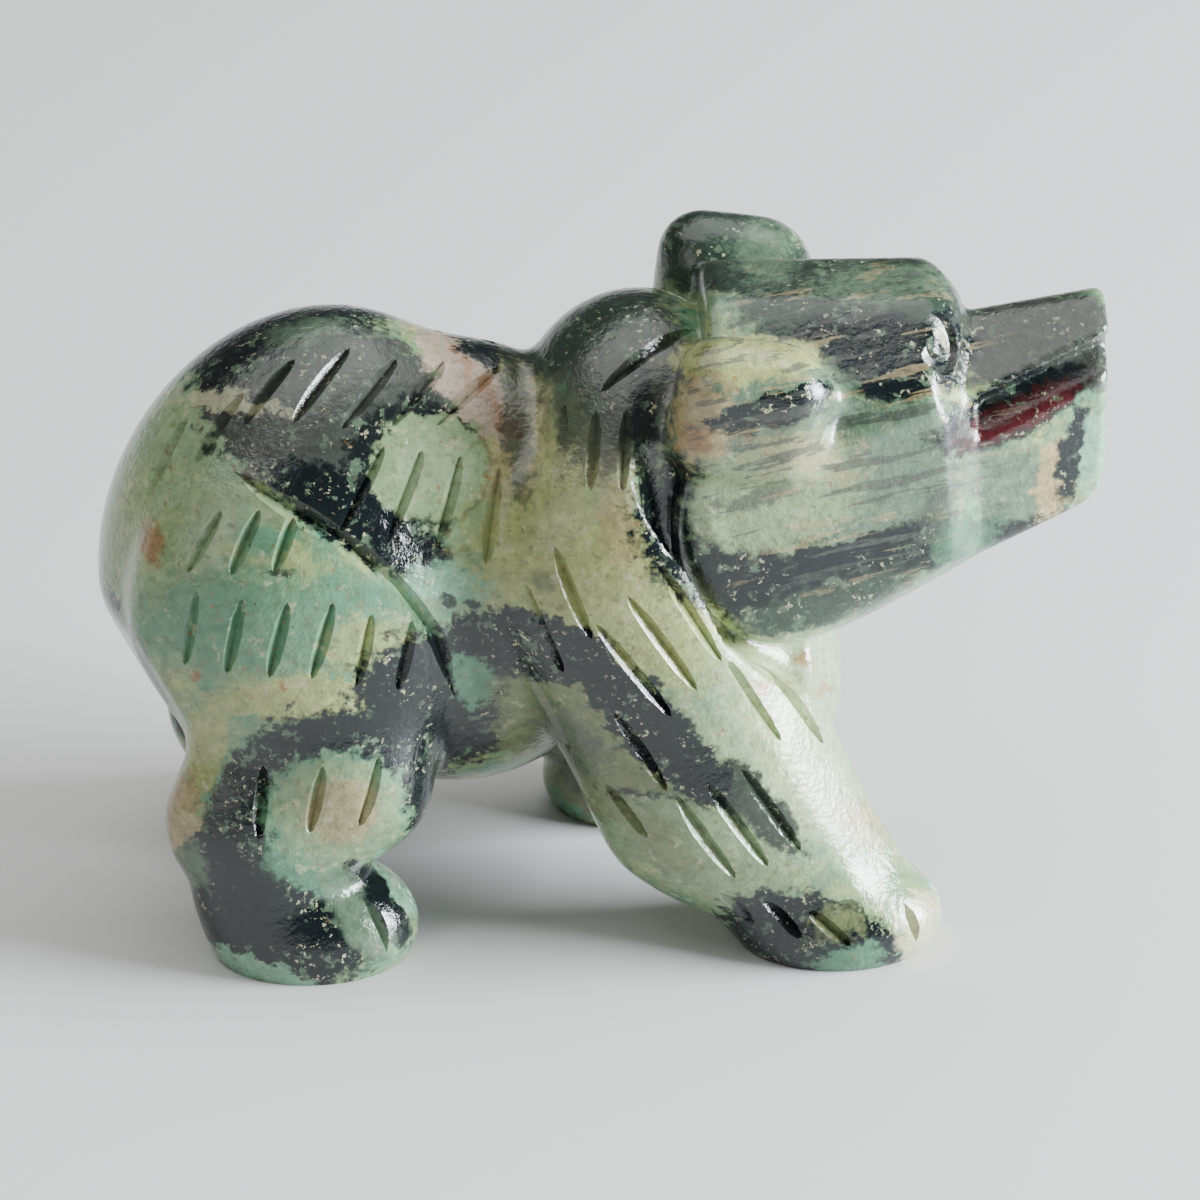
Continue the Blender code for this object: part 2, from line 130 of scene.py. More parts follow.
class Clay(Nodes):
    """Distances to rounded masses, as nodes of a geometry node tree."""

    def __init__(self, tree: bpy.types.GeometryNodeTree, scale: Scale) -> None:
        """Starts the field in shares of the length.

        Args:
            tree: the node tree that the field is built in.
            scale: the bear's size.
        """
        super().__init__(tree)
        position = tree.nodes.new("GeometryNodeInputPosition").outputs[0]
        shares = self.vector("SCALE", position, scale=1 / scale.length)
        self.point = self.vector("ADD", shares, (0.5 - scale.middle / scale.length, 0, 0))
        split = self.node("ShaderNodeSeparateXYZ", self.point)
        folded = tree.nodes.new("ShaderNodeCombineXYZ")
        self.link(split.outputs[0], folded.inputs[0])
        self.link(self.number("ABSOLUTE", split.outputs[1]), folded.inputs[1])
        self.link(split.outputs[2], folded.inputs[2])
        self.folded = folded.outputs[0]

    def seen_from(self, centre: Point, turn: Point, paired: bool) -> Socket:
        """Returns the point as a mass sees it.

        Args:
            centre: the middle of the mass.
            turn: the mass's turn about X, Y and Z, in degrees.
            paired: whether the mass stands on both flanks.

        Returns:
            A vector from the mass's centre, along its own axes.
        """
        point = self.vector("SUBTRACT", self.folded if paired else self.point, centre)
        if any(turn):
            node = self.tree.nodes.new("ShaderNodeVectorRotate")
            node.rotation_type = "EULER_XYZ"
            node.invert = True
            self.link(point, node.inputs["Vector"])
            node.inputs["Rotation"].default_value = [math.radians(a) for a in turn]
            point = node.outputs[0]
        return point

    def egg(self, centre: Point, radii: Point, turn: Point = (0, 0, 0), paired: bool = False) -> Socket:
        """Returns the distance to an ellipsoid."""
        point = self.seen_from(centre, turn, paired)
        reach = self.vector("LENGTH", self.vector("DIVIDE", point, radii))
        slope = self.vector("LENGTH", self.vector("DIVIDE", point, tuple(r * r for r in radii)))
        rise = self.number("MULTIPLY", reach, self.number("SUBTRACT", reach, 1.0))
        return self.number("DIVIDE", rise, self.number("MAXIMUM", slope, 1e-4))

    def limb(
        self,
        start: Point,
        end: Point,
        start_radius: float,
        end_radius: float,
        breadth: float = 1.0,
        paired: bool = False,
    ) -> Socket:
        """Returns the distance to a tapered rod with round ends.

        Args:
            start: the middle of one end.
            end: the middle of the other end.
            start_radius: the radius at the start, seen from the side.
            end_radius: the radius at the end, seen from the side.
            breadth: how many times as thick it is across the bear as from the side.
            paired: whether it stands on both flanks.

        Returns:
            The distance, in shares of the length.
        """
        a = Vector((start[0], start[1] / breadth, start[2]))
        b = Vector((end[0], end[1] / breadth, end[2]))
        place = self.vector("DIVIDE", self.folded if paired else self.point, (1, breadth, 1))
        point = self.vector("SUBTRACT", place, tuple(a))
        along = self.vector("DOT_PRODUCT", point, tuple((b - a) / (b - a).length_squared))
        share = self.number("MINIMUM", self.number("MAXIMUM", along, 0.0), 1.0)
        foot = self.vector("SCALE", tuple(b - a), scale=share)
        gap = self.vector("LENGTH", self.vector("SUBTRACT", point, foot))
        radius = self.number("MULTIPLY_ADD", share, end_radius - start_radius, start_radius)
        return self.number("MULTIPLY", self.number("SUBTRACT", gap, radius), min(1.0, breadth))

    def block(
        self,
        centre: Point,
        half: Point,
        turn: Point = (0, 0, 0),
        rounding: float = 0.02,
        paired: bool = False,
    ) -> Socket:
        """Returns the distance to a box with rounded edges."""
        point = self.seen_from(centre, turn, paired)
        inner = tuple(h - rounding for h in half)
        over = self.vector("SUBTRACT", self.vector("ABSOLUTE", point), inner)
        outside = self.vector("LENGTH", self.vector("MAXIMUM", over, (0, 0, 0)))
        split = self.node("ShaderNodeSeparateXYZ", over)
        inside = self.number("MAXIMUM", split.outputs[0], split.outputs[1])
        inside = self.number("MINIMUM", self.number("MAXIMUM", inside, split.outputs[2]), 0.0)
        return self.number("SUBTRACT", self.number("ADD", outside, inside), rounding)

    def flat(self, point: Point | Vector, normal: Point | Vector, paired: bool = False) -> Socket:
        """Returns the distance to a plane, less than zero behind it."""
        shifted = self.vector("SUBTRACT", self.folded if paired else self.point, tuple(point))
        return self.vector("DOT_PRODUCT", shifted, tuple(Vector(normal).normalized()))

    def join(self, blend: float, *masses: Socket) -> Socket:
        """Returns masses run together with a fillet."""
        whole = masses[0]
        for mass in masses[1:]:
            whole = self.number("SMOOTH_MIN", whole, mass, blend)
        return whole

    def trim(self, blend: float, mass: Socket, *flats: Socket) -> Socket:
        """Returns a mass ground back to each flat, with a softened edge."""
        for flat in flats:
            mass = self.number("SMOOTH_MAX", mass, flat, blend)
        return mass

    def carve(self, blend: float, mass: Socket, tool: Socket) -> Socket:
        """Returns a mass with a hollow in it."""
        return self.number("SMOOTH_MAX", mass, self.number("MULTIPLY", tool, -1.0), blend)


@dataclass(frozen=True)
class BearMasses:
    """The bear before its lines are cut: body, legs, head and the hollows between them.

    Args:
        step: the distance between two samples of the field, in metres.
        right_reach: how far the right front paw stands ahead of the shoulder.
        left_reach: the same for the left front paw.
        eye: the middle of the right eye's place, with Y counted outwards.
        eye_aim: the way that the eye looks.
        paw_side: how far a paw's middle is from the middle plane.
    """

    step: float = 0.00030
    right_reach: float = 0.11
    left_reach: float = -0.07
    eye: Point = (0.829, 0.080, 0.635)
    eye_aim: Point = (0.80, 0.45, 0.39)
    paw_side: float = 0.142

    def seat(self, clay: Clay) -> Socket:
        """Returns the flats ground behind the haunches."""
        return clay.flat((0.050, 0.115, 0.315), (-0.80, 0.30, -0.39), paired=True)

    def trunk(self, clay: Clay) -> Socket:
        """Returns the rump, loin, chest and hump."""
        rump = clay.egg((0.1995, 0, 0.408), (0.188, 0.175, 0.238), (0, 27, 0))
        loin = clay.egg((0.355, 0, 0.363), (0.20, 0.155, 0.238))
        back = clay.join(0.05, rump, loin)
        chest = clay.egg((0.545, 0, 0.37), (0.175, 0.165, 0.21))
        hump = clay.egg((0.541, 0, 0.495), (0.13, 0.155, 0.15))
        front = clay.join(0.04, chest, hump)
        front = clay.trim(0.03, front, clay.flat((0.664, 0.170, 0.299), (0.75, 0.60, 0.27), paired=True))
        breast = clay.egg((0.628, 0, 0.275), (0.108, 0.12, 0.17), (0, -22, 0))
        return clay.join(0.02, clay.trim(0.01, back, self.seat(clay)), clay.join(0.03, front, breast))

    def hind_leg(self, clay: Clay, flank: Flank, hock_height: float) -> Socket:
        """Returns one haunch, knee, hock and paw."""
        side = flank.value
        y = side * 0.137
        haunch = clay.egg((0.20, side * 0.108, 0.36), (0.165, 0.095, 0.19), (0, -18, 0))
        haunch = clay.trim(0.01, haunch, self.seat(clay))
        knee = clay.egg((0.243, y * 0.97, 0.205), (0.082, 0.077, 0.095), (0, -30, 0))
        hock = clay.egg((0.165, y, hock_height), (0.105, 0.072, 0.098), (0, 20, 0))
        heel = clay.egg((0.162, y, 0.075), (0.078, 0.070, 0.075))
        foot = clay.egg((0.205, y, 0.028), (0.107, 0.083, 0.075))
        leg = clay.join(0.07, haunch, clay.join(0.05, knee, hock))
        return clay.join(0.02, leg, clay.join(0.03, heel, foot))

    def fore_leg(self, clay: Clay, flank: Flank, reach: float, wrist_back: float) -> Socket:
        """Returns one shoulder, front leg and paw.

        Args:
            clay: the field.
            flank: the side that the leg is on.
            reach: how far the paw stands ahead of the shoulder.
            wrist_back: how far the wrist is behind the paw's own middle.

        Returns:
            The distance to the leg.
        """
        side = flank.value
        y = side * self.paw_side
        shoulder = (0.535, side * 0.105, 0.40)
        elbow = (0.56 + reach * 0.5, side * 0.128, 0.17)
        wrist = (0.62 + reach - wrist_back, y, 0.07)
        upper = clay.limb(shoulder, elbow, 0.165, 0.118, 0.62)
        upper = clay.trim(0.03, upper, clay.flat((0.664, side * 0.170, 0.299), (0.75, side * 0.60, 0.27)))
        lower = clay.limb(elbow, wrist, 0.112, 0.088, 0.74)
        shin = clay.flat((0.617 + 0.7 * reach, side * 0.173, 0.219), (0.78, side * 0.62, 0.25 + 2 * reach))
        lower = clay.trim(0.015, lower, shin)
        foot = clay.egg((0.625 + reach, y, 0.025), (0.105, 0.08, 0.06))
        return clay.join(0.04, clay.join(0.06, upper, lower), foot)

    def mouth(self, clay: Clay) -> Socket:
        """Returns the V between the lips, as a tool to carve with."""
        root = Vector((0.868, 0.056, 0.556))
        tip = Vector((1.0, 0.020, 0.605))
        upper_lip = Vector((0.868, 0.091, 0.580))
        lower_lip = Vector((0.868, 0.091, 0.532))
        above = (tip - root).cross(upper_lip - root)
        below = (lower_lip - root).cross(tip - root)
        above = above if above.z > 0 else -above
        below = below if below.z < 0 else -below
        return clay.trim(0.004, clay.flat(root, above, True), clay.flat(root, below, True))

    def muzzle(self, clay: Clay) -> Socket:
        """Returns the square muzzle with its open mouth."""
        muzzle = clay.block((0.90, 0, 0.53), (0.11, 0.102, 0.15), (0, 0, 0), 0.03)
        muzzle = clay.trim(
            0.012,
            muzzle,
            clay.flat((0.87, 0, 0.626), (-0.17, 0, 0.985)),
            clay.flat((0.87, 0.015, 0.624), (-0.145, 0.5, 0.84), paired=True),
            clay.flat((1.0, 0.054, 0.60), (0.27, 0.96, 0), paired=True),
            clay.flat((0.96, 0, 0.424), (0.406, 0, -0.914)),
            clay.flat((1.0, 0, 0.55), (1, 0, 0.0)),
            clay.flat((0.990, 0, 0.443), (0.85, 0, -0.53)),
        )
        muzzle = clay.trim(0.03, muzzle, clay.flat((0.867, 0.072, 0.388), (0.40, 0.60, -0.80), paired=True))
        return clay.carve(0.006, muzzle, self.mouth(clay))

    def cheeks(self, clay: Clay) -> Socket:
        """Returns the jowls, round behind and below and cut square in front."""
        block = clay.block((0.735, 0, 0.475), (0.20, 0.160, 0.20), (0, 0, 0), 0.045)
        roll = clay.egg((0.748, 0, 0.488), (0.192, 0.60, 0.168), (0, -24, 0))
        cheeks = clay.trim(0.03, block, roll)
        return clay.trim(0.05, cheeks, clay.flat((0.867, 0.092, 0.403), (0.46, 0.62, -0.70), paired=True))

    def ear(self, clay: Clay) -> Socket:
        """Returns both ears, round on top and leaning out."""
        ear = clay.block((0.640, 0.136, 0.594), (0.078, 0.046, 0.075), (-10, 8, 0), 0.045, paired=True)
        return clay.trim(0.02, ear, clay.flat((0.700, 0.138, 0.652), (0.62, 0.0, 0.78), paired=True))

    def head(self, clay: Clay) -> Socket:
        """Returns the skull, jowls, brows, ears and muzzle."""
        skull = clay.block((0.735, 0, 0.570), (0.134, 0.15, 0.12), (0, 0, 0), 0.035)
        jowl = clay.join(0.015, self.cheeks(clay), skull)
        jowl = clay.trim(
            0.02,
            jowl,
            clay.flat((0.75, 0, 0.667), (0.02, 0, 1)),
            clay.flat((0.75, 0.054, 0.667), (0, 0.65, 0.76), paired=True),
            clay.flat((0.715, 0, 0.312), (0.406, 0, -0.914)),
            clay.flat((0.867, 0, 0.5), (1, 0, 0.04)),
            clay.flat((0.865, 0.128, 0.5), (0.14, 1, 0.05), paired=True),
            clay.flat((0.846, 0, 0.655), (0.66, 0, 0.75)),
        )
        jowl = clay.trim(0.006, jowl, clay.flat((0.852, 0.112, 0.5), (0.80, 0.60, 0.08), paired=True))
        jowl = clay.trim(0.008, jowl, clay.flat(self.eye, self.eye_aim, paired=True))
        trench = clay.limb((0.690, 0.158, 0.575), (0.812, 0.146, 0.612), 0.026, 0.024, paired=True)
        jowl = clay.carve(0.008, jowl, trench)
        whole = clay.join(0.008, jowl, self.muzzle(clay))
        return clay.join(0.024, whole, self.ear(clay))

    def collar(self, clay: Clay) -> Socket:
        """Returns the round groove behind the ears and the jowls, as a tool to carve with."""
        path = (
            (0.560, 0.125, 0.650),
            (0.554, 0.160, 0.569),
            (0.570, 0.160, 0.465),
            (0.620, 0.156, 0.376),
            (0.695, 0.130, 0.318),
        )
        groove = clay.limb(path[0], path[1], 0.029, 0.029, paired=True)
        for start, end in zip(path[1:], path[2:]):
            groove = clay.number("MINIMUM", groove, clay.limb(start, end, 0.029, 0.029, paired=True))
        return groove

    def whole(self, clay: Clay) -> Socket:
        """Returns the distance to the whole bear."""
        body = clay.join(
            0.03,
            self.trunk(clay),
            self.hind_leg(clay, Flank.RIGHT, 0.145),
            self.hind_leg(clay, Flank.LEFT, 0.125),
            self.fore_leg(clay, Flank.RIGHT, self.right_reach, 0.02),
            self.fore_leg(clay, Flank.LEFT, self.left_reach, -0.02),
        )
        body = clay.carve(0.02, body, self.collar(clay))
        return clay.join(0.006, body, self.head(clay))

    def build(self, name: str, scale: Scale) -> bpy.types.Object:
        """Samples the field and makes the bear's skin.

        Args:
            name: the new object's name.
            scale: the bear's size.

        Returns:
            The bear as one closed mesh, with no modifier left on it.
        """
        low, high = Vector((-0.04, -0.27, -0.08)), Vector((1.04, 0.27, 0.74))
        tree = bpy.data.node_groups.new(name + "_masses", "GeometryNodeTree")
        tree.interface.new_socket("Geometry", in_out="OUTPUT", socket_type="NodeSocketGeometry")
        clay = Clay(tree, scale)
        cube = tree.nodes.new("GeometryNodeVolumeCube")
        clay.link(clay.number("MULTIPLY", self.whole(clay), -1.0), cube.inputs["Density"])
        cube.inputs["Background"].default_value = -1.0
        cube.inputs["Min"].default_value = scale.place(low)
        cube.inputs["Max"].default_value = scale.place(high)
        for axis, size in zip("XYZ", (high - low) * scale.length):
            cube.inputs["Resolution " + axis].default_value = round(size / self.step)
        skin = clay.node("GeometryNodeVolumeToMesh", cube.outputs[0])
        skin.resolution_mode = "GRID"
        skin.inputs["Threshold"].default_value = 0.0
        tree.links.new(skin.outputs[0], tree.nodes.new("NodeGroupOutput").inputs[0])
        bear = bpy.data.objects.new(name, bpy.data.meshes.new(name))
        bpy.context.scene.collection.objects.link(bear)
        bear.modifiers.new("masses", "NODES").node_group = tree
        soft = bear.modifiers.new("polish", "SMOOTH")
        soft.factor = 0.5
        soft.iterations = 4
        bake(bear)
        return bear


def bake(thing: bpy.types.Object) -> None:
    """Puts what an object's modifiers make into its own mesh, and takes them off."""
    bpy.context.view_layer.update()
    seen = thing.evaluated_get(bpy.context.evaluated_depsgraph_get())
    made = bpy.data.meshes.new_from_object(seen)
    thing.modifiers.clear()
    old, thing.data = thing.data, made
    bpy.data.meshes.remove(old)
    made.name = thing.name


class Surface:
    """The blocked out bear, felt for with rays."""

    def __init__(self, bear: bpy.types.Object, scale: Scale) -> None:
        """Reads the bear's mesh."""
        self.scale = scale
        self.tree = BVHTree.FromObject(bear, bpy.context.evaluated_depsgraph_get())

    def press(self, point: Vector, normal: Vector) -> Vector | None:
        """Returns the place on the stone under a point near it, or none where there is no stone."""
        reach = 0.08 * self.scale.length
        return self.tree.ray_cast(point + normal * reach, -normal, 2 * reach)[0]

    def touch(
        self, point: Point | Vector, inward: Point | Vector, clearance: float = 1.0
    ) -> tuple[Vector, Vector]:
        """Feels for the stone along a ray.

        Args:
            point: a place that the ray passes through, in shares of the length.
            inward: the ray's way.
            clearance: how far before the point the ray starts, in shares of the length.

        Returns:
            The place on the stone in metres, and the outward normal there.
        """
        inward = Vector(inward).normalized()
        start = self.scale.place(point) - inward * clearance * self.scale.length
        place, normal, _, _ = self.tree.ray_cast(start, inward)
        return place, normal


@dataclass(frozen=True)
class Row:
    """A row of like cuts, as seen from the side.

    Args:
        first: the first cut's middle, in X and Z.
        step: from one cut's middle to the next.
        count: the number of cuts.
        lean: the first cut's angle from the level, in degrees.
        change: how much further each next cut leans.
        length: the length of a cut.
    """

    first: Pair
    step: Pair
    count: int
    lean: float
    change: float
    length: float


@dataclass(frozen=True)
class Carving:
    """Every line that the wheel and the drill cut in the bear.

    Args:
        masses: the bear that is cut.
        scale: its size.
        stroke_width: how wide a fur cut is, in metres.
        stroke_depth: how deep a fur cut is, in metres.
        stroke_stretch: how many times its row's length a fur cut is.
        stroke_gap: how far apart two cuts of one cutter are at least, in stroke widths.
        stroke_bend: how straight a fur cut stays, as the least cosine between it and its way.
        leaf: the places that a fur cut is felt for at, and the share of its width at each.
        crease_width: how wide the haunch line is, in metres.
        crease_depth: how deep it is, in metres.
        line_width: how wide the lines between the toes are, in metres.
        line_depth: how deep they are, in metres.
        eye_radius: the drilled ring's radius, in metres.
        eye_groove: half the width of the ring's groove, in metres.
        sole_cut: how high over the ground plane the soles are ground flat, in metres.
        sharp_angle: the angle between two faces from which their edge stays sharp, in degrees.
    """

    masses: BearMasses
    scale: Scale
    stroke_width: float = 0.00078
    stroke_depth: float = 0.00040
    stroke_stretch: float = 1.15
    stroke_gap: float = 3.0
    stroke_bend: float = 0.6
    leaf: tuple[Pair, ...] = (
        (-1.0, 0.15),
        (-0.86, 0.62),
        (-0.5, 0.93),
        (0.0, 1.0),
        (0.5, 0.93),
        (0.86, 0.62),
        (1.0, 0.15),
    )
    crease_width: float = 0.00095
    crease_depth: float = 0.00046
    line_width: float = 0.00065
    line_depth: float = 0.00042
    eye_radius: float = 0.00120
    eye_groove: float = 0.00050
    sole_cut: float = 0.00002
    sharp_angle: float = 32.0

    def rows(self) -> tuple[Row, ...]:
        """Returns the rows of fur, from the rump to the front paw."""
        return (
            Row((0.076, 0.532), (0.049, 0.034), 3, 60, -8, 0.076),
            Row((0.226, 0.609), (0.048, -0.009), 4, 40, -5, 0.090),
            Row((0.263, 0.524), (0.042, -0.013), 4, 56, 8, 0.088),
            Row((0.108, 0.480), (0.040, 0.004), 3, 60, 4, 0.064),
            Row((0.092, 0.392), (0.043, -0.002), 4, 80, -2, 0.076),
            Row((0.262, 0.372), (0.041, -0.014), 2, 78, 0, 0.070),
            Row((0.157, 0.205), (0.054, 0.006), 3, 84, -5, 0.070),
            Row((0.436, 0.382), (0.028, 0.046), 2, -67, -2, 0.092),
            Row((0.524, 0.346), (0.028, 0.030), 3, -55, -3, 0.118),
            Row((0.444, 0.276), (0.088, -0.024), 2, -66, 8, 0.090),
            Row((0.595, 0.158), (0.033, 0.014), 3, -58, 0, 0.104),
            Row((0.478, 0.172), (0.040, 0.006), 2, -52, 0, 0.062),
            Row((0.628, 0.068), (0.046, -0.008), 3, -50, 5, 0.050),
            Row((0.458, 0.552), (0.030, 0.003), 3, 76, 4, 0.074),
            Row((0.643, 0.300), (0.047, -0.024), 2, -60, 0, 0.100),
            Row((0.545, 0.628), (0.000, 0.000), 1, 18, 0, 0.110),
        )

    def haunch_line(self) -> tuple[Pair, ...]:
        """Returns the line that parts the haunch from the flank, in X and Z."""
        return (
            (0.135, 0.540),
            (0.182, 0.520),
            (0.240, 0.486),
            (0.295, 0.432),
            (0.334, 0.366),
            (0.354, 0.280),
        )

    def gouge(
        self,
        mesh: bmesh.types.BMesh,
        points: list[Vector],
        normals: list[Vector],
        width: float,
        depth: float,
        swells: tuple[float, ...] = (),
    ) -> None:
        """Adds one V bar along points on the stone, pointed at both ends.

        Args:
            mesh: the cutter that the bar is added to.
            points: places on the stone, in metres.
            normals: the stone's outward normal at each.
            width: how wide the cut is where it meets the surface.
            depth: how deep it is.
            swells: the share of the width and depth at each point, or none for the whole of both.
        """
        lift = 0.8 * depth
        widest = width / 2 * (lift + depth) / depth
        last = len(points) - 1
        face = None
        for i, (point, normal) in enumerate(zip(points, normals)):
            ahead = points[min(i + 1, last)] - points[max(i - 1, 0)]
            across = ahead.cross(normal).normalized() * widest
            swell = sink = swells[i] if swells else 1.0
            if i in (0, last):
                swell, sink = 0.15, -0.25
            rim = point + normal * lift
            corners = (rim + across * swell, point - normal * depth * sink, rim - across * swell)
            if face is None:
                start = [bmesh.ops.create_vert(mesh, co=corner)["vert"][0] for corner in corners]
                face = bmesh.ops.contextual_create(mesh, geom=start)["faces"][0]
                order = [start.index(vert) for vert in face.verts]
                continue
            below = face
            made = bmesh.ops.extrude_face_region(mesh, geom=[below])["geom"]
            face = next(item for item in made if isinstance(item, bmesh.types.BMFace))
            if i > 1 and below.is_valid:
                bmesh.ops.delete(mesh, geom=[below], context="FACES_ONLY")
            for vert, corner in zip(face.verts, order):
                vert.co = corners[corner]

    def stride(self, flank: Flank, x: float, z: float) -> float:
        """Returns how far the left front leg is behind the right one at a height."""
        if flank is Flank.RIGHT or x < 0.43:
            return 0.0
        behind = self.masses.left_reach - self.masses.right_reach
        return behind * min(max((0.30 - z) / 0.25, 0.0), 1.0)

    def stroke(
        self, surface: Surface, middle: Pair, row: Row, i: int, flank: Flank
    ) -> tuple[list[Vector], Vector] | None:
        """Finds where one fur cut lies.

        Args:
            surface: the stone.
            middle: the cut's middle, in X and Z.
            row: the row that it is in.
            i: its place in the row.
            flank: the side that it is on.

        Returns:
            Places along it on the stone and the way out of the stone, or none where it would
            run off an edge.
        """
        place, normal = surface.touch((middle[0], 0, middle[1]), (0, -flank.value, 0))
        if place is None:
            return None
        lean = math.radians(row.lean + row.change * i)
        level = Vector((math.cos(lean), 0, math.sin(lean)))
        way = (level - Vector((0, 1, 0)) * (level.dot(normal) / normal.y)).normalized()
        half = self.stroke_stretch * row.length * self.scale.length / 2
        path = [surface.press(place + way * half * share, normal) for share, _ in self.leaf]
        if not all(path):
            return None
        steps = [(after - before).normalized() for before, after in zip(path, path[1:])]
        straight = min(step.dot(way) for step in steps) > self.stroke_bend
        return (path, normal) if straight else None

    def fur(self, surface: Surface) -> list[bmesh.types.BMesh]:
        """Returns cutters for all the fur; no two cuts of one cutter come near each other."""
        batches: list[list[tuple[list[Vector], Vector]]] = []
        for flank in Flank:
            for row in self.rows():
                for i in range(row.count):
                    x = row.first[0] + row.step[0] * i
                    z = row.first[1] + row.step[1] * i
                    found = self.stroke(surface, (x + self.stride(flank, x, z), z), row, i, flank)
                    if found is None:
                        continue
                    for batch in batches:
                        apart = min((a - b).length for path, _ in batch for a in path for b in found[0])
                        if apart > self.stroke_gap * self.stroke_width:
                            batch.append(found)
                            break
                    else:
                        batches.append([found])
        cutters = []
        swells = tuple(swell for _, swell in self.leaf)
        for batch in batches:
            mesh = bmesh.new()
            for path, normal in batch:
                self.gouge(mesh, path, [normal] * len(path), self.stroke_width, self.stroke_depth, swells)
            cutters.append(mesh)
        return cutters

    def toes(
        self,
        mesh: bmesh.types.BMesh,
        surface: Surface,
        middle: float,
        flank: Flank,
        turns: tuple[float, ...],
        clearance: float,
    ) -> None:
        """Adds three cuts that fan out over the front of a paw, down to the ground.

        Args:
            mesh: the cutter that the cuts are added to.
            surface: the stone.
            middle: the paw's middle on X.
            flank: the side that the paw is on.
            turns: the heights that a cut is felt for at, as angles above the ground.
            clearance: how far from the paw's middle the rays start.
        """
        centre = Vector((middle, flank.value * 0.140, 0.01))
        for spread in (-38, 0, 38):
            path = []
            for turn in turns:
                rise, aside = math.radians(turn), math.radians(spread)
                level = math.cos(rise)
                ahead = Vector((level * math.cos(aside), level * math.sin(aside), math.sin(rise)))
                path.append(surface.touch(centre, -ahead, clearance))
            self.gouge(mesh, [p[0] for p in path], [p[1] for p in path], self.line_width, self.line_depth)

    def lines(self, surface: Surface) -> bmesh.types.BMesh:
        """Returns the cutter for the haunch lines and the toes."""
        mesh = bmesh.new()
        for flank in Flank:
            felt = [surface.touch((x, 0, z), (0, -flank.value, 0)) for x, z in self.haunch_line()]
            self.gouge(mesh, [f[0] for f in felt], [f[1] for f in felt], self.crease_width, self.crease_depth)
            self.toes(mesh, surface, 0.205, flank, (50, 38, 24, 8), 0.13)
        self.toes(mesh, surface, 0.625 + self.masses.right_reach, Flank.RIGHT, (36, 26, 16, 6), 0.16)
        self.toes(mesh, surface, 0.625 + self.masses.left_reach, Flank.LEFT, (36, 26, 16, 6), 0.16)
        return mesh

    def eyes(self, surface: Surface) -> bmesh.types.BMesh:
        """Returns the cutter for the ring that a tube drill leaves on each side of the brow."""
        mesh = bmesh.new()
        for flank in Flank:
            x, y, z = self.masses.eye_aim
            aim = Vector((x, flank.value * y, z)).normalized()
            x, y, z = self.masses.eye
            place, _ = surface.touch((x, flank.value * y, z), -aim, 0.15)
            stand = Matrix.Translation(place) @ aim.to_track_quat("Z", "Y").to_matrix().to_4x4()
            upright = Matrix.Rotation(math.pi / 2, 4, "X")
            wire = bmesh.ops.create_circle(
                mesh, cap_ends=False, radius=self.eye_groove, segments=8, matrix=upright
            )["verts"]
            bmesh.ops.translate(mesh, verts=wire, vec=(self.eye_radius, 0, 0))
            edges = list({edge for vert in wire for edge in vert.link_edges})
            bmesh.ops.spin(
                mesh,
                geom=wire + edges,
                cent=(0, 0, 0),
                axis=(0, 0, 1),
                angle=math.tau,
                steps=32,
                use_merge=True,
            )
            ring = [vert for vert in mesh.verts if not vert.tag]
            bmesh.ops.transform(mesh, matrix=stand, verts=ring)
            for vert in mesh.verts:
                vert.tag = True
        return mesh

    def cut(self, bear: bpy.types.Object, mesh: bmesh.types.BMesh, name: str) -> None:
        """Cuts one set of lines out of the bear.

        Args:
            bear: the stone.
            mesh: the cutter, used up here.
            name: what the cut is called in the log.
        """
        bmesh.ops.recalc_face_normals(mesh, faces=mesh.faces)
        data = bpy.data.meshes.new(name)
        mesh.to_mesh(data)
        mesh.free()
        tool = bpy.data.objects.new(name, data)
        bpy.context.scene.collection.objects.link(tool)
        modifier = bear.modifiers.new(name, "BOOLEAN")
        modifier.operation = "DIFFERENCE"
        modifier.solver = "EXACT"
        modifier.object = tool
        bake(bear)
        bpy.data.objects.remove(tool)
        log.info("%s cut: %d faces stand", name, len(bear.data.polygons))

    def flatten_soles(self, bear: bpy.types.Object) -> None:
        """Grinds the paws flat on the ground plane."""
        mesh = bmesh.new()
        mesh.from_mesh(bear.data)
        geometry = mesh.verts[:] + mesh.edges[:] + mesh.faces[:]
        ground = (0, 0, self.sole_cut)
        bmesh.ops.bisect_plane(
            mesh, geom=geometry, plane_co=ground, plane_no=(0, 0, 1), clear_inner=True, dist=1e-7
        )
        rim = [edge for edge in mesh.edges if edge.is_boundary]
        bmesh.ops.holes_fill(mesh, edges=rim, sides=0)
        mesh.to_mesh(bear.data)
        mesh.free()

    def crisp(self, bear: bpy.types.Object) -> None:
        """Smooths the polish across the stone and keeps the cuts' edges sharp."""
        mesh = bmesh.new()
        mesh.from_mesh(bear.data)
        for face in mesh.faces:
            face.smooth = True
        sharp = math.radians(self.sharp_angle)
        for edge in mesh.edges:
            edge.smooth = not edge.is_manifold or edge.calc_face_angle(0.0) < sharp
        mesh.to_mesh(bear.data)
        mesh.free()

    def dress(self, bear: bpy.types.Object) -> None:
        """Makes every cut in the bear."""
        surface = Surface(bear, self.scale)
        cutters = [(mesh, "fur") for mesh in self.fur(surface)]
        cutters += [(self.lines(surface), "haunch_and_toes"), (self.eyes(surface), "eyes")]
        for mesh, name in cutters:
            self.cut(bear, mesh, name)
        self.flatten_soles(bear)
        self.crisp(bear)


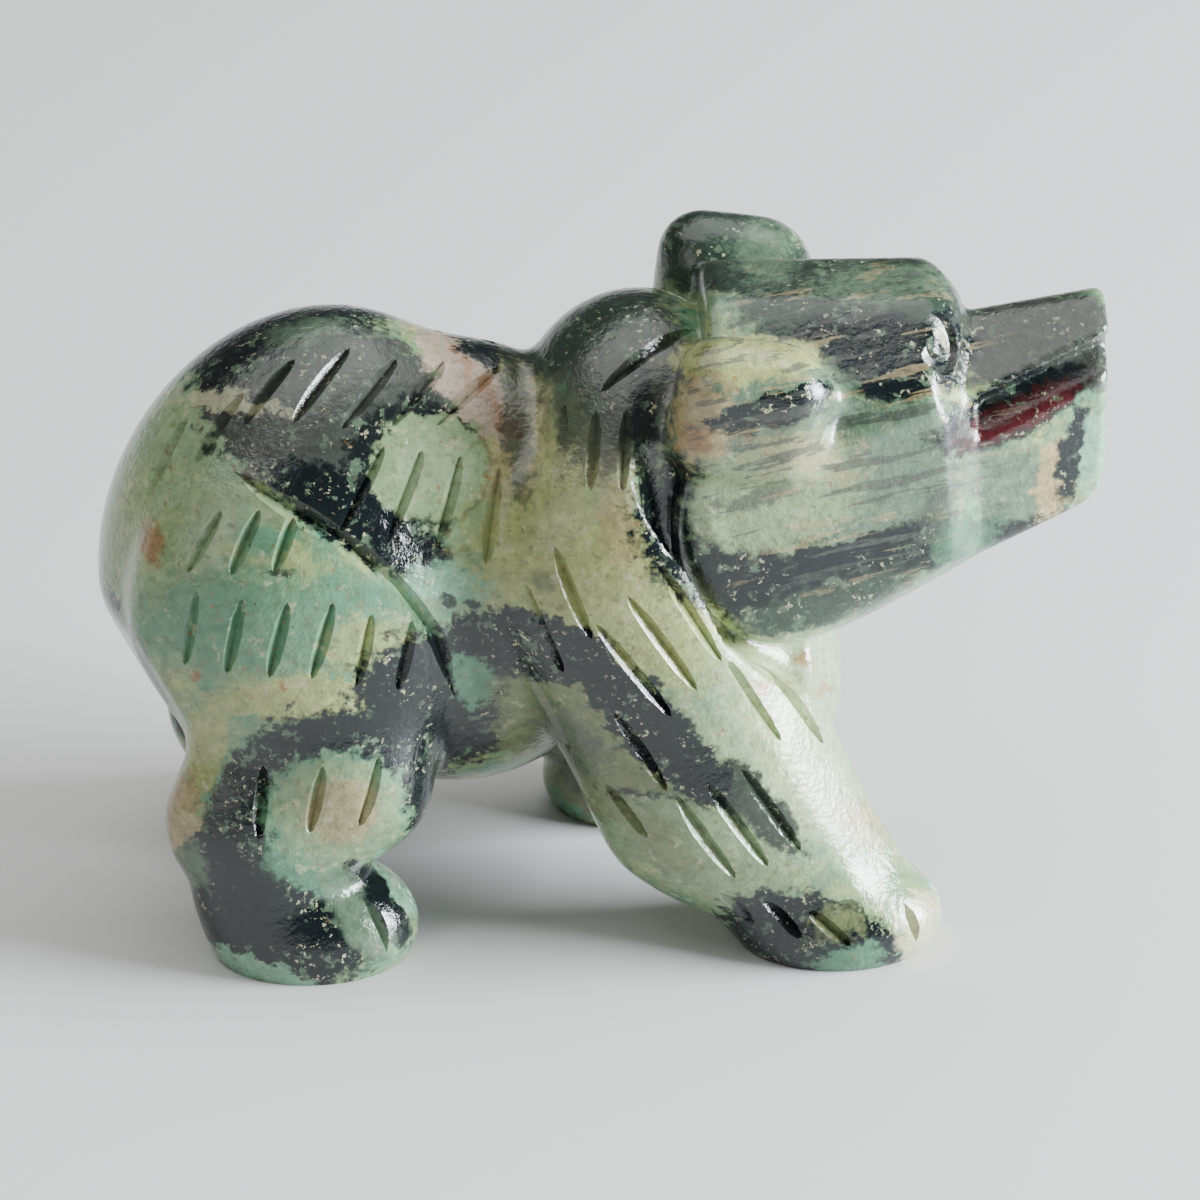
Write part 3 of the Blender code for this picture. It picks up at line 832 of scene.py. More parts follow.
class Tone(Enum):
    """The stone's colours, in linear light."""

    SAGE = (0.165, 0.235, 0.12)
    PALE_SAGE = (0.225, 0.30, 0.17)
    YELLOW_GREEN = (0.245, 0.28, 0.105)
    TEAL = (0.075, 0.19, 0.11)
    MINT = (0.14, 0.28, 0.18)
    OLIVE = (0.125, 0.145, 0.065)
    MOSS = (0.085, 0.135, 0.085)
    CREAM = (0.34, 0.34, 0.21)
    TAN = (0.27, 0.22, 0.11)
    ROSE = (0.33, 0.27, 0.20)
    RUST = (0.22, 0.10, 0.035)
    # dark grey stone, kept lighter partly as a painted grey sheen; also laid as painted reflection on the
    # shoulder and the muzzle
    SMOKE = (0.042, 0.047, 0.040)
    FOREST = (0.018, 0.032, 0.022)
    BLACK = (0.004, 0.007, 0.008)
    MAROON = (0.040, 0.006, 0.008)

    @property
    def paint(self) -> tuple[float, float, float, float]:
        """Returns the colour with nothing see-through."""
        return (*self.value, 1.0)


@dataclass(frozen=True)
class Patch:
    """One field of colour, an ellipse drawn on the stone and carried through it.

    Args:
        tone: its colour.
        middle: its middle, across and up, in percent of the bear's length.
        radii: half its length and half its breadth, in the same measure.
        turn: how far it is turned, anticlockwise, in degrees.
        edge: how wide its soft border is, as a share of its radii.
        ragged: how far its border wanders, as a share of its radii.
        cover: how much it hides of what is under it.
    """

    tone: Tone
    middle: Pair
    radii: Pair
    turn: float = 0.0
    edge: float = 0.06
    ragged: float = 0.45
    cover: float = 1.0


class Pattern(Nodes):
    """A stone's pattern, as nodes of a shader tree."""

    def noise(self, point: Source, scale: float, detail: float, rough: float = 0.55) -> bpy.types.Node:
        """Returns a noise texture."""
        node = self.tree.nodes.new("ShaderNodeTexNoise")
        for name, source in (("Vector", point), ("Scale", scale), ("Detail", detail), ("Roughness", rough)):
            self.link(source, node.inputs[name])
        return node

    def step(self, value: Source, low: Source, high: Source, start: float = 0.0, end: float = 1.0) -> Socket:
        """Returns a value that goes smoothly from start to end as another goes from low to high."""
        node = self.node("ShaderNodeMapRange", value, low, high, start, end)
        node.interpolation_type = "SMOOTHSTEP"
        return node.outputs[0]

    def field(self, point: Source, grain: Source, patch: Patch) -> Socket:
        """Returns how much of a patch's colour shows at each place.

        Args:
            point: the place, across and up, in percent of the length.
            grain: noise about zero that makes the patch's border wander.
            patch: the field of colour.

        Returns:
            A mask from 0 to the patch's cover.
        """
        ball = self.tree.nodes.new("ShaderNodeTexGradient")
        ball.gradient_type = "SPHERICAL"
        ball.texture_mapping.vector_type = "TEXTURE"
        ball.texture_mapping.translation = (*patch.middle, 0)
        ball.texture_mapping.rotation = (0, 0, math.radians(patch.turn))
        ball.texture_mapping.scale = (2 * patch.radii[0], 2 * patch.radii[1], 1)
        self.link(point, ball.inputs["Vector"])
        inside = self.number("MULTIPLY_ADD", grain, patch.ragged / 2, ball.outputs["Fac"])
        low, high = 0.5 - patch.edge / 2, 0.5 + patch.edge / 2
        return self.step(inside, low, high, 0.0, patch.cover)

    def mix(self, share: Source, under: Source, over: Source) -> Socket:
        """Returns one colour laid over another."""
        node = self.tree.nodes.new("ShaderNodeMix")
        node.data_type = "RGBA"
        self.link(share, node.inputs[0])
        self.link(under, node.inputs[6])
        self.link(over, node.inputs[7])
        return node.outputs[2]

    @classmethod
    def group(
        cls, name: str, takes: dict[str, str], gives: dict[str, str]
    ) -> tuple[Pattern, dict[str, Socket], bpy.types.Node]:
        """Starts a group of shader nodes.

        Args:
            name: the group's name.
            takes: the names and kinds of its inputs.
            gives: the names and kinds of its outputs.

        Returns:
            The pattern to fill in, its inputs by name, and the node that its outputs go to.
        """
        tree = bpy.data.node_groups.new(name, "ShaderNodeTree")
        for side, sockets in (("INPUT", takes), ("OUTPUT", gives)):
            for socket, kind in sockets.items():
                tree.interface.new_socket(socket, in_out=side, socket_type="NodeSocket" + kind)
        start = tree.nodes.new("NodeGroupInput")
        given = {socket: start.outputs[socket] for socket in takes}
        return cls(tree), given, tree.nodes.new("NodeGroupOutput")

    def place(self, group: bpy.types.NodeTree, **sources: Source) -> bpy.types.Node:
        """Puts a group in this tree with its inputs filled by name."""
        node = self.tree.nodes.new("ShaderNodeGroup")
        node.node_tree = group
        for name, source in sources.items():
            self.link(source, node.inputs[name])
        return node


@dataclass(frozen=True)
class Jasper:
    """Polished jasper: sage, olive and teal grounds with black fields, orbs and flecks, and a few fields of
    painted shade, highlight and reflection.

    The fields of colour are drawn on a plane that leans back, and run through the stone
    square to it, bending more the deeper they go.

    Args:
        scale: the bear's size.
        azimuth: how far the plane of the fields is turned from the middle plane, in degrees.
        elevation: how far it leans back, in degrees.
        roughness: the polish's roughness.
        coat: the weight of the wax over the polish.
        coat_roughness: the wax's roughness.
        refraction: how strongly the stone bends light.
        pit_strength: how much of the pits' relief shows.
        pit_depth: how deep the pits are, in metres.
    """

    scale: Scale
    azimuth: float = VIEW_AZIMUTH
    elevation: float = VIEW_ELEVATION
    roughness: float = 0.075
    coat: float = 0.12
    coat_roughness: float = 0.04
    refraction: float = 1.54
    pit_strength: float = 0.22
    pit_depth: float = 0.0004

    def rump_and_back(self) -> tuple[Patch, ...]:
        """Returns the fields from the rump to the waist."""
        return (
            Patch(Tone.PALE_SAGE, (8.5, 40.0), (8.0, 13.0), -15, 0.5, 0.6, 0.6),
            Patch(Tone.YELLOW_GREEN, (5.0, 33.0), (3.5, 7.0), 0, 0.6, 0.7, 0.5),
            Patch(Tone.TEAL, (19.0, 25.0), (16.0, 5.0), -3, 0.35, 0.5, 0.85),
            Patch(Tone.YELLOW_GREEN, (21.5, 17.8), (8.5, 2.1), 3),
            Patch(Tone.YELLOW_GREEN, (28.5, 22.5), (4.8, 3.2), -10, 0.25, 0.7, 0.8),
            Patch(Tone.SMOKE, (24.0, 46.0), (14.2, 9.3), -25, 0.08, 0.35),
            Patch(Tone.FOREST, (19.0, 54.0), (10.5, 4.4), 22, 0.25, 0.5),
            Patch(Tone.BLACK, (16.0, 52.6), (6.5, 2.4), 38, 0.3, 0.8),
            Patch(Tone.BLACK, (25.5, 56.4), (5.5, 2.4), 0, 0.3, 0.8),
            Patch(Tone.MOSS, (21.0, 53.6), (3.8, 1.3), 12, 0.5, 0.9, 0.7),
            Patch(Tone.CREAM, (14.0, 46.9), (5.4, 0.8), -8, 0.3, 1.5, 0.8),
            Patch(Tone.CREAM, (31.5, 54.8), (3.4, 0.9), -35, 0.3, 1.6, 0.8),
            Patch(Tone.BLACK, (27.0, 35.0), (10.5, 3.3), -33, 0.12, 0.6),
            Patch(Tone.BLACK, (32.6, 40.6), (7.0, 6.8), -20, 0.10, 0.4, 0.9),
            Patch(Tone.TAN, (42.5, 40.0), (3.8, 16.0), 0, 0.4, 0.6, 0.7),
            Patch(Tone.ROSE, (37.3, 49.0), (7.4, 2.7), -52, 0.15, 0.7),
            Patch(Tone.RUST, (38.6, 48.4), (4.8, 0.8), -58, 0.5, 2.0, 0.7),
            Patch(Tone.BLACK, (38.4, 52.3), (3.4, 1.5), -38, 0.2, 0.9),
            Patch(Tone.SAGE, (33.4, 40.2), (5.6, 5.5), 0, 0.06, 0.22),
            Patch(Tone.PALE_SAGE, (33.6, 40.4), (3.6, 3.4), 0, 0.4, 0.5, 0.6),
            Patch(Tone.MINT, (36.0, 28.8), (4.8, 2.1), 0, 0.2, 0.6),
            Patch(Tone.BLACK, (35.5, 18.0), (9.5, 6.6), 0, 0.12, 0.5),
            Patch(Tone.TEAL, (37.8, 19.9), (2.1, 2.8), 0, 0.2, 0.8, 0.8),
        )

    def hind_leg(self) -> tuple[Patch, ...]:
        """Returns the fields of the hind leg and its paw, and the seat's black field, which is partly painted
        shade.
        """
        return (
            # black on the seat plane: partly the stone's dark band, partly painted shade on the rump's rear
            # facet
            Patch(Tone.BLACK, (3.0, 21.0), (12.0, 2.8), -63, 0.15, 0.5),
            Patch(Tone.BLACK, (24.0, 7.0), (12.2, 9.6), 0, 0.06, 0.25),
            Patch(Tone.BLACK, (16.0, -3.5), (13.0, 10.0), 0, 0.1, 0.3),
            Patch(Tone.YELLOW_GREEN, (11.2, 13.0), (5.0, 2.0), 78, 0.2, 0.6),
            Patch(Tone.TAN, (8.2, 5.6), (4.6, 2.1), 68, 0.2, 0.7),
            Patch(Tone.MOSS, (9.2, 1.2), (1.8, 2.4), 0, 0.4, 1.0, 0.8),
            Patch(Tone.TEAL, (22.5, 0.6), (6.0, 2.6), -15, 0.25, 0.6, 0.8),
            Patch(Tone.TEAL, (24.2, 6.3), (7.1, 6.4), 0, 0.08, 0.3),
            Patch(Tone.SAGE, (24.4, 6.4), (6.3, 5.6), 0, 0.2, 0.5, 0.9),
            Patch(Tone.TAN, (24.6, 6.6), (3.6, 3.4), 0, 0.25, 0.5, 0.75),
            Patch(Tone.BLACK, (27.9, -2.8), (5.2, 2.1), -56, 0.15, 0.4),
            Patch(Tone.MOSS, (25.4, -3.6), (5.6, 1.8), -57, 0.3, 0.5, 0.9),
            Patch(Tone.MINT, (30.2, -0.9), (4.8, 1.2), -58, 0.15, 0.4),
            Patch(Tone.MINT, (16.0, -9.6), (6.8, 1.4), -21, 0.15, 0.5),
        )

    def front(self) -> tuple[Patch, ...]:
        """Returns the fields of the hump, the neck, the chest and the front legs; a few of them are painted
        shade or painted reflection.
        """
        return (
            Patch(Tone.YELLOW_GREEN, (51.0, 28.0), (15.0, 7.0), -28, 0.2, 0.4),
            Patch(Tone.PALE_SAGE, (70.0, 15.0), (9.0, 12.5), 15, 0.3, 0.4),
            Patch(Tone.YELLOW_GREEN, (68.0, 16.0), (3.0, 10.0), 25, 0.6, 0.6, 0.6),
            Patch(Tone.FOREST, (49.5, 54.0), (8.5, 5.2), 8, 0.2, 0.4),
            Patch(Tone.SMOKE, (55.0, 48.0), (6.0, 6.0), 0, 0.2, 0.5),
            Patch(Tone.YELLOW_GREEN, (47.0, 38.0), (2.8, 9.5), 4, 0.4, 0.8, 0.8),
            Patch(Tone.TAN, (52.0, 36.0), (2.2, 6.0), 8, 0.5, 1.0, 0.7),
            # dark grey on the upper shoulder: partly the stone's grey-brown, partly a painted dark reflection
            Patch(Tone.SMOKE, (50.5, 46.5), (5.4, 6.5), 0, 0.25, 0.7, 0.8),
            # painted shade: a dark band down the waist behind the shoulder
            Patch(Tone.FOREST, (42.0, 45.5), (1.5, 9.5), 4, 0.3, 0.9, 0.75),
            # painted shade: a black line along the collar groove
            Patch(Tone.BLACK, (54.5, 43.0), (1.3, 7.5), 6, 0.3, 0.8, 0.8),
            Patch(Tone.OLIVE, (49.0, 13.5), (10.5, 7.0), -38, 0.15, 0.4),
            Patch(Tone.BLACK, (44.0, 22.9), (8.5, 3.3), -12, 0.08, 0.4),
            Patch(Tone.BLACK, (55.8, 14.3), (10.5, 3.2), -46, 0.10, 0.5),
            Patch(Tone.SMOKE, (47.5, 13.0), (4.5, 2.6), -40, 0.5, 0.9, 0.7),
            Patch(Tone.BLACK, (65.0, 7.2), (7.0, 2.5), -42, 0.15, 0.6, 0.92),
            Patch(Tone.BLACK, (57.0, 7.3), (5.8, 0.9), -6, 0.2, 1.0),
            Patch(Tone.SAGE, (61.5, 1.6), (9.5, 4.6), -32, 0.12, 0.4),
            Patch(Tone.OLIVE, (56.0, 3.4), (5.0, 2.2), -40, 0.4, 0.8, 0.7),
            Patch(Tone.BLACK, (71.5, -6.6), (9.6, 4.9), -14, 0.08, 0.4),
            Patch(Tone.TEAL, (75.0, -8.4), (3.4, 1.7), 5, 0.3, 1.0, 0.8),
            Patch(Tone.OLIVE, (74.0, -4.6), (2.4, 1.6), 0, 0.4, 1.2, 0.8),
            Patch(Tone.TAN, (76.6, 5.2), (4.0, 2.2), -40, 0.4, 0.9, 0.6),
            Patch(Tone.CREAM, (83.0, -5.6), (3.4, 4.4), 0, 0.12, 0.3, 0.9),
        )

    def head(self) -> tuple[Patch, ...]:
        """Returns the fields of the head; a few of them are painted shade, a painted highlight or a painted
        reflection.
        """
        return (
            Patch(Tone.BLACK, (68.5, 36.5), (15.5, 11.0), 10, 0.08, 0.25),
            Patch(Tone.FOREST, (76.0, 57.0), (13.0, 7.0), 0, 0.15, 0.3),
            Patch(Tone.MOSS, (78.0, 58.6), (8.0, 1.6), 3, 0.5, 1.2, 0.8),
            Patch(Tone.BLACK, (77.5, 51.0), (9.5, 4.6), -4, 0.1, 0.3),
            Patch(Tone.FOREST, (62.8, 62.5), (7.5, 5.2), 0, 0.15, 0.3),
            Patch(Tone.MOSS, (66.5, 61.6), (3.0, 3.4), 0, 0.4, 0.9, 0.8),
            Patch(Tone.MOSS, (66.0, 45.4), (9.2, 6.2), 10, 0.15, 0.3),
            Patch(Tone.YELLOW_GREEN, (64.5, 50.7), (7.6, 2.3), 0, 0.12, 0.35),
            Patch(Tone.TAN, (60.4, 44.6), (3.2, 4.2), 0, 0.25, 0.8),
            Patch(Tone.RUST, (59.8, 43.2), (1.8, 1.3), 30, 0.5, 1.6, 0.8),
            Patch(Tone.BLACK, (66.8, 45.8), (6.2, 1.7), 14, 0.15, 0.7),
            Patch(Tone.BLACK, (82.0, 44.8), (6.5, 1.4), 12, 0.2, 0.6),
            Patch(Tone.MOSS, (76.0, 40.0), (14.5, 6.2), 11, 0.06, 0.25),
            Patch(Tone.SAGE, (67.5, 37.6), (9.0, 5.4), 14, 0.15, 0.35),
            Patch(Tone.SMOKE, (66.0, 37.4), (5.0, 0.8), 14, 0.5, 1.8, 0.7),
            Patch(Tone.BLACK, (80.5, 31.9), (16.5, 2.4), 14, 0.1, 0.6),
            Patch(Tone.MOSS, (73.0, 26.8), (9.5, 2.0), 14, 0.2, 0.7),
            # dark grey on the muzzle's upper side: partly the stone's tone, partly a painted grey reflection
            Patch(Tone.SMOKE, (94.0, 52.5), (9.0, 5.5), 0, 0.1, 0.2),
            Patch(Tone.BLACK, (90.5, 46.0), (8.5, 3.0), 25, 0.12, 0.3),
            Patch(Tone.MAROON, (91.5, 45.6), (6.5, 1.7), 27, 0.3, 0.7),
            Patch(Tone.MOSS, (91.0, 38.6), (4.6, 3.6), 0, 0.3, 0.5),
            Patch(Tone.BLACK, (92.5, 34.2), (7.0, 1.5), 22, 0.2, 0.6),
            Patch(Tone.TAN, (95.2, 39.4), (2.0, 4.0), -12, 0.2, 0.9),
            Patch(Tone.BLACK, (97.0, 41.8), (1.5, 4.8), -14, 0.2, 0.7),
            Patch(Tone.MINT, (99.8, 41.0), (2.2, 4.6), 0, 0.12, 0.3),
            # painted shade: the drilled eye ring and its socket darkened black
            Patch(Tone.BLACK, (83.7, 53.0), (1.9, 3.0), 12, 0.1, 0.2),
            # painted shade of the notch beside the eye, which is not carved
            Patch(Tone.BLACK, (86.8, 52.2), (1.1, 1.4), 0, 0.3, 0.3),
            # painted highlight: a pale upright glint in the eye
            Patch(Tone.CREAM, (83.6, 53.0), (0.45, 1.4), 14, 0.3, 0.3, 0.8),
            Patch(Tone.FOREST, (72.5, 27.2), (9.5, 2.0), 18, 0.25, 0.7, 0.92),
            Patch(Tone.TEAL, (86.0, 33.5), (3.4, 3.2), 60, 0.4, 0.9, 0.6),
            Patch(Tone.SMOKE, (83.0, 35.5), (1.4, 3.6), -30, 0.4, 1.0, 0.7),
            Patch(Tone.TAN, (70.0, 41.5), (5.5, 2.2), -8, 0.5, 1.2, 0.55),
        )

    def spots(self) -> tuple[Patch, ...]:
        """Returns the small spots."""
        return (
            Patch(Tone.RUST, (6.4, 32.6), (1.2, 2.2), 10, 0.5, 0.9, 0.8),
            Patch(Tone.BLACK, (12.1, 42.2), (0.8, 0.6), 0, 0.3, 0.5, 0.85),
            Patch(Tone.BLACK, (19.3, 29.9), (1.5, 0.25), -3, 0.4, 0.6, 0.8),
            Patch(Tone.BLACK, (35.7, 27.2), (1.0, 0.35), 0, 0.4, 0.6, 0.9),
            Patch(Tone.BLACK, (38.0, 27.1), (0.7, 0.35), 0, 0.4, 0.6, 0.9),
            Patch(Tone.RUST, (10.5, 19.9), (0.6, 0.6), 0, 0.4, 0.6, 0.8),
            Patch(Tone.RUST, (19.3, 18.7), (0.5, 0.5), 0, 0.4, 0.6, 0.8),
            Patch(Tone.OLIVE, (44.8, 29.3), (1.6, 1.0), 0, 0.4, 0.5, 0.9),
            Patch(Tone.RUST, (66.2, 18.5), (0.8, 0.8), 0, 0.4, 0.6, 0.9),
            Patch(Tone.RUST, (70.4, 21.4), (1.0, 0.8), 0, 0.6, 1.0, 0.7),
            Patch(Tone.RUST, (72.5, 18.5), (0.9, 0.5), 20, 0.6, 1.0, 0.7),
        )

    def fleck_group(self) -> bpy.types.NodeTree:
        """Returns the group that masks scattered flecks."""
        takes = {"Point": "Vector", "Scale": "Float", "Level": "Float", "Cover": "Float"}
        pattern, given, end = Pattern.group("stone_flecks", takes, {"Mask": "Float"})
        noise = pattern.noise(given["Point"], 1.0, 3.0, 0.6)
        pattern.link(given["Scale"], noise.inputs["Scale"])
        high = pattern.number("ADD", given["Level"], 0.05)
        inside = pattern.step(noise.outputs[0], given["Level"], high)
        pattern.link(pattern.number("MULTIPLY", inside, given["Cover"]), end.inputs["Mask"])
        return pattern.tree

    def plane(self, pattern: Pattern) -> Socket:
        """Returns the place in the stone: across, up and into it, in percent of the length."""
        a, e = math.radians(self.azimuth), math.radians(self.elevation)
        across = Vector((math.cos(a), -math.sin(a), 0))
        into = Vector((math.sin(a) * math.cos(e), math.cos(a) * math.cos(e), -math.sin(e)))
        percent = 100 / self.scale.length
        place = pattern.tree.nodes.new("ShaderNodeTexCoord").outputs["Object"]
        joined = pattern.node(
            "ShaderNodeCombineXYZ",
            pattern.vector("DOT_PRODUCT", place, tuple(across * percent)),
            pattern.vector("DOT_PRODUCT", place, tuple(across.cross(into) * percent)),
            pattern.vector("DOT_PRODUCT", place, tuple(into * percent)),
        )
        return pattern.vector("ADD", joined.outputs[0], (50, 0, 0))

    def bent(self, pattern: Pattern, place: Socket) -> Socket:
        """Returns the place as the fields see it, shaken a little near the front and more behind."""
        split = pattern.node("ShaderNodeSeparateXYZ", place)
        behind = pattern.number("MAXIMUM", pattern.number("ADD", split.outputs[2], 16.0), 0.0)
        fine = pattern.noise(place, 0.45, 4.0, 0.6).outputs["Color"]
        broad = pattern.noise(place, 0.06, 1.0).outputs["Color"]
        fine = pattern.vector("SCALE", pattern.vector("SUBTRACT", fine, (0.5, 0.5, 0.5)), scale=2.6)
        broad = pattern.vector("SUBTRACT", broad, (0.5, 0.5, 0.5))
        broad = pattern.vector("SCALE", broad, scale=pattern.number("MULTIPLY_ADD", behind, 1.3, 1.5))
        moved = pattern.vector("ADD", place, pattern.vector("ADD", fine, broad))
        return pattern.vector("MULTIPLY", moved, (1.0, 1.0, 0.0))

    def colour(self, pattern: Pattern, place: Socket) -> Socket:
        """Returns the stone's colour, with painted shade, a painted highlight and painted reflections among
        its fields.
        """
        point = self.bent(pattern, place)
        mottle = pattern.noise(place, 0.16, 5.0, 0.62)
        colour = pattern.mix(pattern.step(mottle.outputs[0], 0.42, 0.62), Tone.SAGE.paint, Tone.TEAL.paint)
        cloud = pattern.noise(pattern.vector("ADD", place, (31, 7, 3)), 0.22, 5.0, 0.6).outputs[0]
        colour = pattern.mix(pattern.step(cloud, 0.50, 0.70), colour, Tone.YELLOW_GREEN.paint)
        grain = pattern.number("SUBTRACT", pattern.noise(place, 0.8, 5.0, 0.62).outputs[0], 0.5)
        grain = pattern.number("MULTIPLY", grain, 2.2)
        for field in self.rump_and_back() + self.hind_leg() + self.front() + self.head() + self.spots():
            colour = pattern.mix(pattern.field(point, grain, field), colour, field.tone.paint)
        colour = self.streaks(pattern, place, point, grain, colour)
        return self.flecks(pattern, place, cloud, colour)

    def streaks(
        self, pattern: Pattern, place: Socket, point: Socket, grain: Socket, colour: Socket
    ) -> Socket:
        """Lays thin streaks along the head.

        Args:
            pattern: the nodes.
            place: the place in the stone.
            point: the place as the fields see it.
            grain: the noise that makes borders wander.
            colour: the colour so far.

        Returns:
            The colour with the streaks on it.
        """
        along = pattern.tree.nodes.new("ShaderNodeMapping")
        along.vector_type = "TEXTURE"
        pattern.link(place, along.inputs["Vector"])
        along.inputs["Rotation"].default_value = (0, 0, math.radians(13))
        along.inputs["Scale"].default_value = (9.0, 1.0, 3.0)
        streak = pattern.noise(along.outputs[0], 0.9, 4.0, 0.6).outputs[0]
        for tone, low, high, ends, cover in (
            (Tone.SMOKE, 0.55, 0.60, (0.0, 1.0), 0.75),
            (Tone.TAN, 0.37, 0.41, (1.0, 0.0), 0.5),
        ):
            head = pattern.field(point, grain, Patch(tone, (74.0, 45.0), (16.0, 17.0), 0, 0.3, 0.4, cover))
            lines = pattern.number("MULTIPLY", head, pattern.step(streak, low, high, *ends))
            colour = pattern.mix(lines, colour, tone.paint)
        return colour

    def flecks(self, pattern: Pattern, place: Socket, cloud: Socket, colour: Socket) -> Socket:
        """Scatters flecks over the colour and shades it in small clouds.

        Args:
            pattern: the nodes.
            place: the place in the stone.
            cloud: the noise that the flecks on dark stone gather in.
            colour: the colour so far.

        Returns:
            The finished colour.
        """
        group = self.fleck_group()
        light = pattern.node("ShaderNodeRGBToBW", colour).outputs[0]
        clump = pattern.step(cloud, 0.44, 0.56)
        dark = pattern.number("MULTIPLY", pattern.step(light, 0.02, 0.09, 1.0, 0.0), clump)
        pale = pattern.step(light, 0.08, 0.16)
        for shift, scale, level, cover, where, tone in (
            (3, 0.7, 0.56, 0.7, dark, Tone.MOSS),
            (11, 1.5, 0.61, 0.9, dark, Tone.CREAM),
            (19, 0.9, 0.60, 0.6, pale, Tone.OLIVE),
            (27, 1.0, 0.655, 0.7, pale, Tone.RUST),
            (35, 0.6, 0.60, 0.5, pale, Tone.CREAM),
            (43, 2.2, 0.68, 0.8, pale, Tone.BLACK),
        ):
            moved = pattern.vector("ADD", place, (shift, shift * 2, 0))
            cover = pattern.number("MULTIPLY", where, cover)
            mask = pattern.place(group, Point=moved, Scale=scale, Level=level, Cover=cover)
            colour = pattern.mix(mask.outputs[0], colour, tone.paint)
        shade = pattern.noise(place, 0.7, 6.0, 0.7).outputs[0]
        shade = pattern.node("ShaderNodeMapRange", shade, 0.25, 0.75, 0.62, 1.38).outputs[0]
        return pattern.vector("SCALE", colour, scale=shade)

    def build(self) -> bpy.types.Material:
        """Returns the stone's material."""
        material = bpy.data.materials.new("polished_jasper")
        material.use_nodes = True
        shader = material.node_tree.nodes["Principled BSDF"]
        pattern = Pattern(material.node_tree)
        place = self.plane(pattern)
        pattern.link(self.colour(pattern, place), shader.inputs["Base Color"])
        polish = pattern.noise(place, 1.2, 5.0, 0.65).outputs[0]
        smooth, dull = self.roughness * 0.7, self.roughness * 2.2
        polish = pattern.node("ShaderNodeMapRange", polish, 0.3, 0.7, smooth, dull)
        pattern.link(polish.outputs[0], shader.inputs["Roughness"])
        pits = pattern.noise(place, 1.1, 4.0, 0.6).outputs[0]
        bump = pattern.tree.nodes.new("ShaderNodeBump")
        bump.inputs["Strength"].default_value = self.pit_strength
        bump.inputs["Distance"].default_value = self.pit_depth
        pattern.link(pits, bump.inputs["Height"])
        pattern.link(bump.outputs[0], shader.inputs["Normal"])
        shader.inputs["IOR"].default_value = self.refraction
        shader.inputs["Coat Weight"].default_value = self.coat
        shader.inputs["Coat Roughness"].default_value = self.coat_roughness
        return material


@dataclass(frozen=True)
class Panel:
    """A soft light, aimed at the bear.

    Args:
        name: what it is called.
        place: where it stands, in metres.
        size: its width and height, in metres.
        power: its power, in watts.
        tint: its colour.
    """

    name: str
    place: Point
    size: Pair
    power: float
    tint: Point

    def add(self, target: Vector) -> None:
        """Adds the light, turned to a target."""
        lamp = bpy.data.lights.new(self.name, "AREA")
        lamp.shape = "RECTANGLE"
        lamp.size, lamp.size_y = self.size
        lamp.energy = self.power
        lamp.color = self.tint
        panel = bpy.data.objects.new(self.name, lamp)
        panel.location = self.place
        aim = target - panel.location
        panel.rotation_euler = aim.to_track_quat("-Z", "Y").to_euler()
        bpy.context.scene.collection.objects.link(panel)


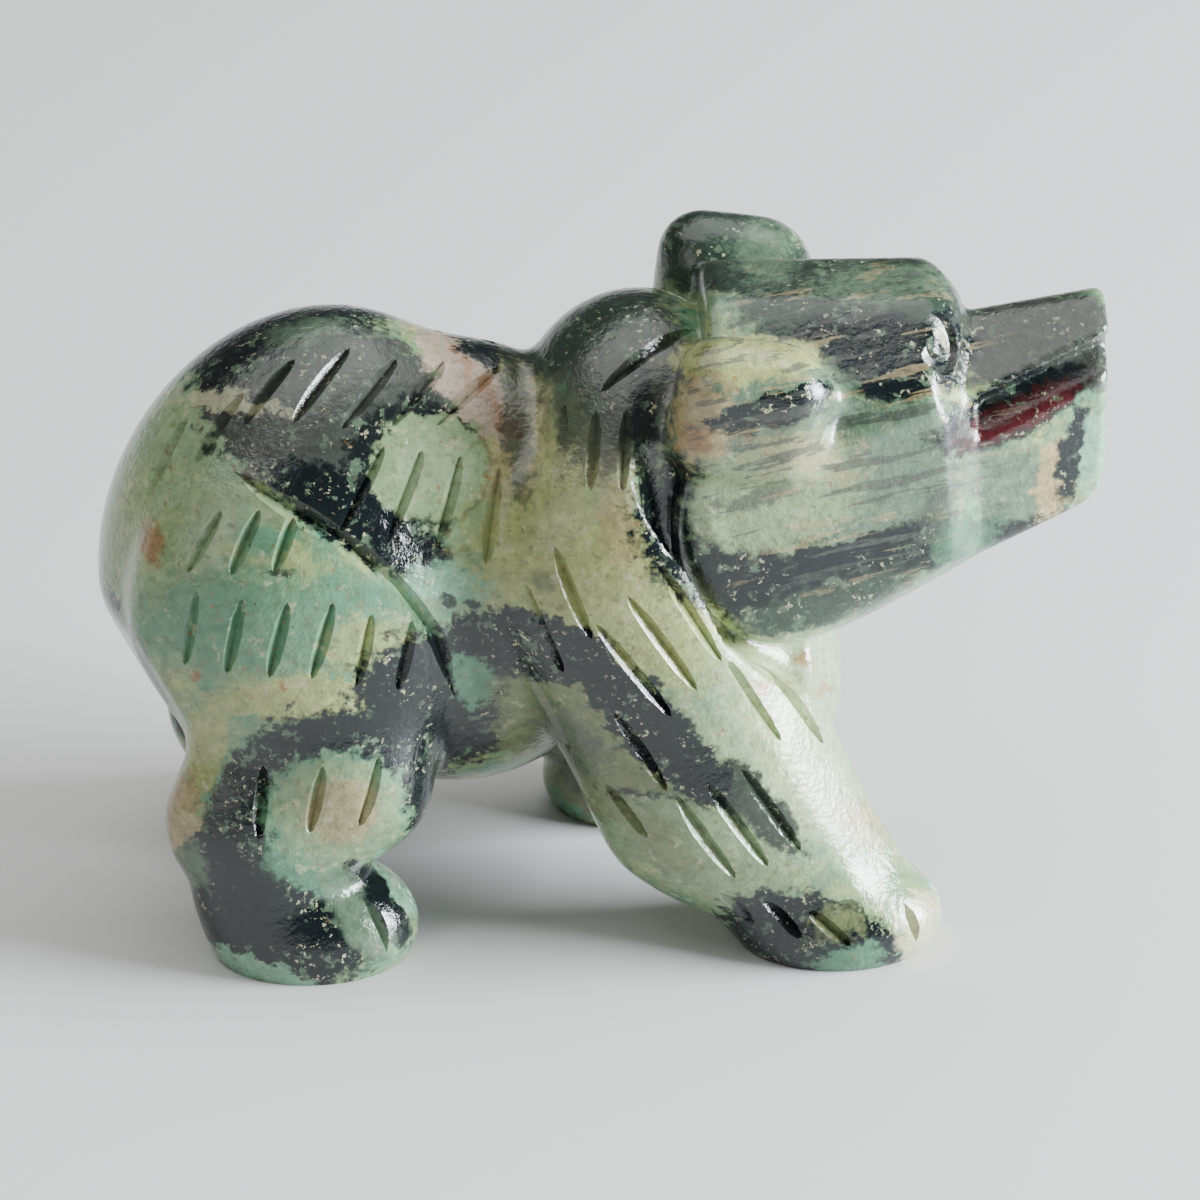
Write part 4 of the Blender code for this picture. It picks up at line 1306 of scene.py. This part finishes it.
@dataclass(frozen=True)
class Studio:
    """A pale floor, soft lights and the camera.

    Args:
        length: the bear's length, in metres.
        azimuth: how far the camera stands behind a square side view, in degrees.
        elevation: how far it looks down, in degrees.
        distance: how far it stands off, in metres.
        lens: its focal length, in millimetres.
        target: the place that it looks at, in shares of the bear's length.
        floor_tone: the floor's colour.
        sky_tone: the colour all around.
        sky_strength: how bright it is all around.
    """

    length: float
    azimuth: float = VIEW_AZIMUTH
    elevation: float = VIEW_ELEVATION
    distance: float = 0.35
    lens: float = 200.9
    target: Point = (0.002, 0, 0.3135)
    floor_tone: Point = (0.62, 0.62, 0.61)
    sky_tone: Point = (0.80, 0.83, 0.86)
    sky_strength: float = 0.14

    def floor(self) -> bpy.types.Object:
        """Returns the pale floor."""
        mesh = bmesh.new()
        bmesh.ops.create_grid(mesh, x_segments=1, y_segments=1, size=2.0)
        data = bpy.data.meshes.new("floor")
        mesh.to_mesh(data)
        mesh.free()
        floor = bpy.data.objects.new("floor", data)
        bpy.context.scene.collection.objects.link(floor)
        material = bpy.data.materials.new("pale_floor")
        material.use_nodes = True
        shader = material.node_tree.nodes["Principled BSDF"]
        shader.inputs["Base Color"].default_value = (*self.floor_tone, 1)
        shader.inputs["Roughness"].default_value = 0.6
        data.materials.append(material)
        return floor

    def lights(self) -> None:
        """Adds the window side panel, a broad overhead one and a weak fill."""
        for panel in (
            Panel("window", (0.34, -0.06, 0.09), (0.20, 0.16), 9.0, (0.90, 0.95, 1.0)),
            Panel("overhead", (-0.06, 0.10, 0.60), (0.90, 0.70), 4.6, (1.0, 1.0, 1.0)),
            Panel("fill", (-0.40, -0.40, 0.25), (0.40, 0.40), 0.8, (1.0, 0.99, 0.97)),
        ):
            panel.add(Vector((0, 0, self.length * 0.3)))

    def sky(self) -> None:
        """Sets a plain soft grey around everything."""
        world = bpy.data.worlds.new("soft_grey")
        world.use_nodes = True
        background = world.node_tree.nodes["Background"]
        background.inputs["Color"].default_value = (*self.sky_tone, 1)
        background.inputs["Strength"].default_value = self.sky_strength
        bpy.context.scene.world = world

    def camera(self) -> None:
        """Sets the camera at the photograph's angle."""
        a, e = math.radians(self.azimuth), math.radians(self.elevation)
        look = Vector((math.sin(a) * math.cos(e), math.cos(a) * math.cos(e), -math.sin(e)))
        target = Vector(self.target) * self.length
        camera = bpy.data.objects.new("camera", bpy.data.cameras.new("camera"))
        camera.data.sensor_width = 36
        camera.data.lens = self.lens
        camera.data.clip_start = 0.01
        camera.data.clip_end = 20
        camera.location = target - look * self.distance
        camera.rotation_euler = look.to_track_quat("-Z", "Y").to_euler()
        bpy.context.scene.collection.objects.link(camera)
        bpy.context.scene.camera = camera


def main() -> None:
    """Builds the stone, its carving, its finish and the studio.
    """
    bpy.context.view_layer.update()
    low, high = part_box("bear")
    scale = Scale(high[0] - low[0], (high[0] + low[0]) / 2)
    masses = BearMasses()
    bear = masses.build("carved_bear", scale)
    log.info("masses: %d faces", len(bear.data.polygons))
    Carving(masses, scale).dress(bear)
    bear.data.materials.clear()
    bear.data.materials.append(Jasper(scale).build())
    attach(bear, "root")
    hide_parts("bear")
    studio = Studio(scale.length)
    studio.floor()
    studio.lights()
    studio.sky()
    studio.camera()


if __name__ == "__main__":
    logging.basicConfig(level=logging.INFO, format="%(message)s")
    main()
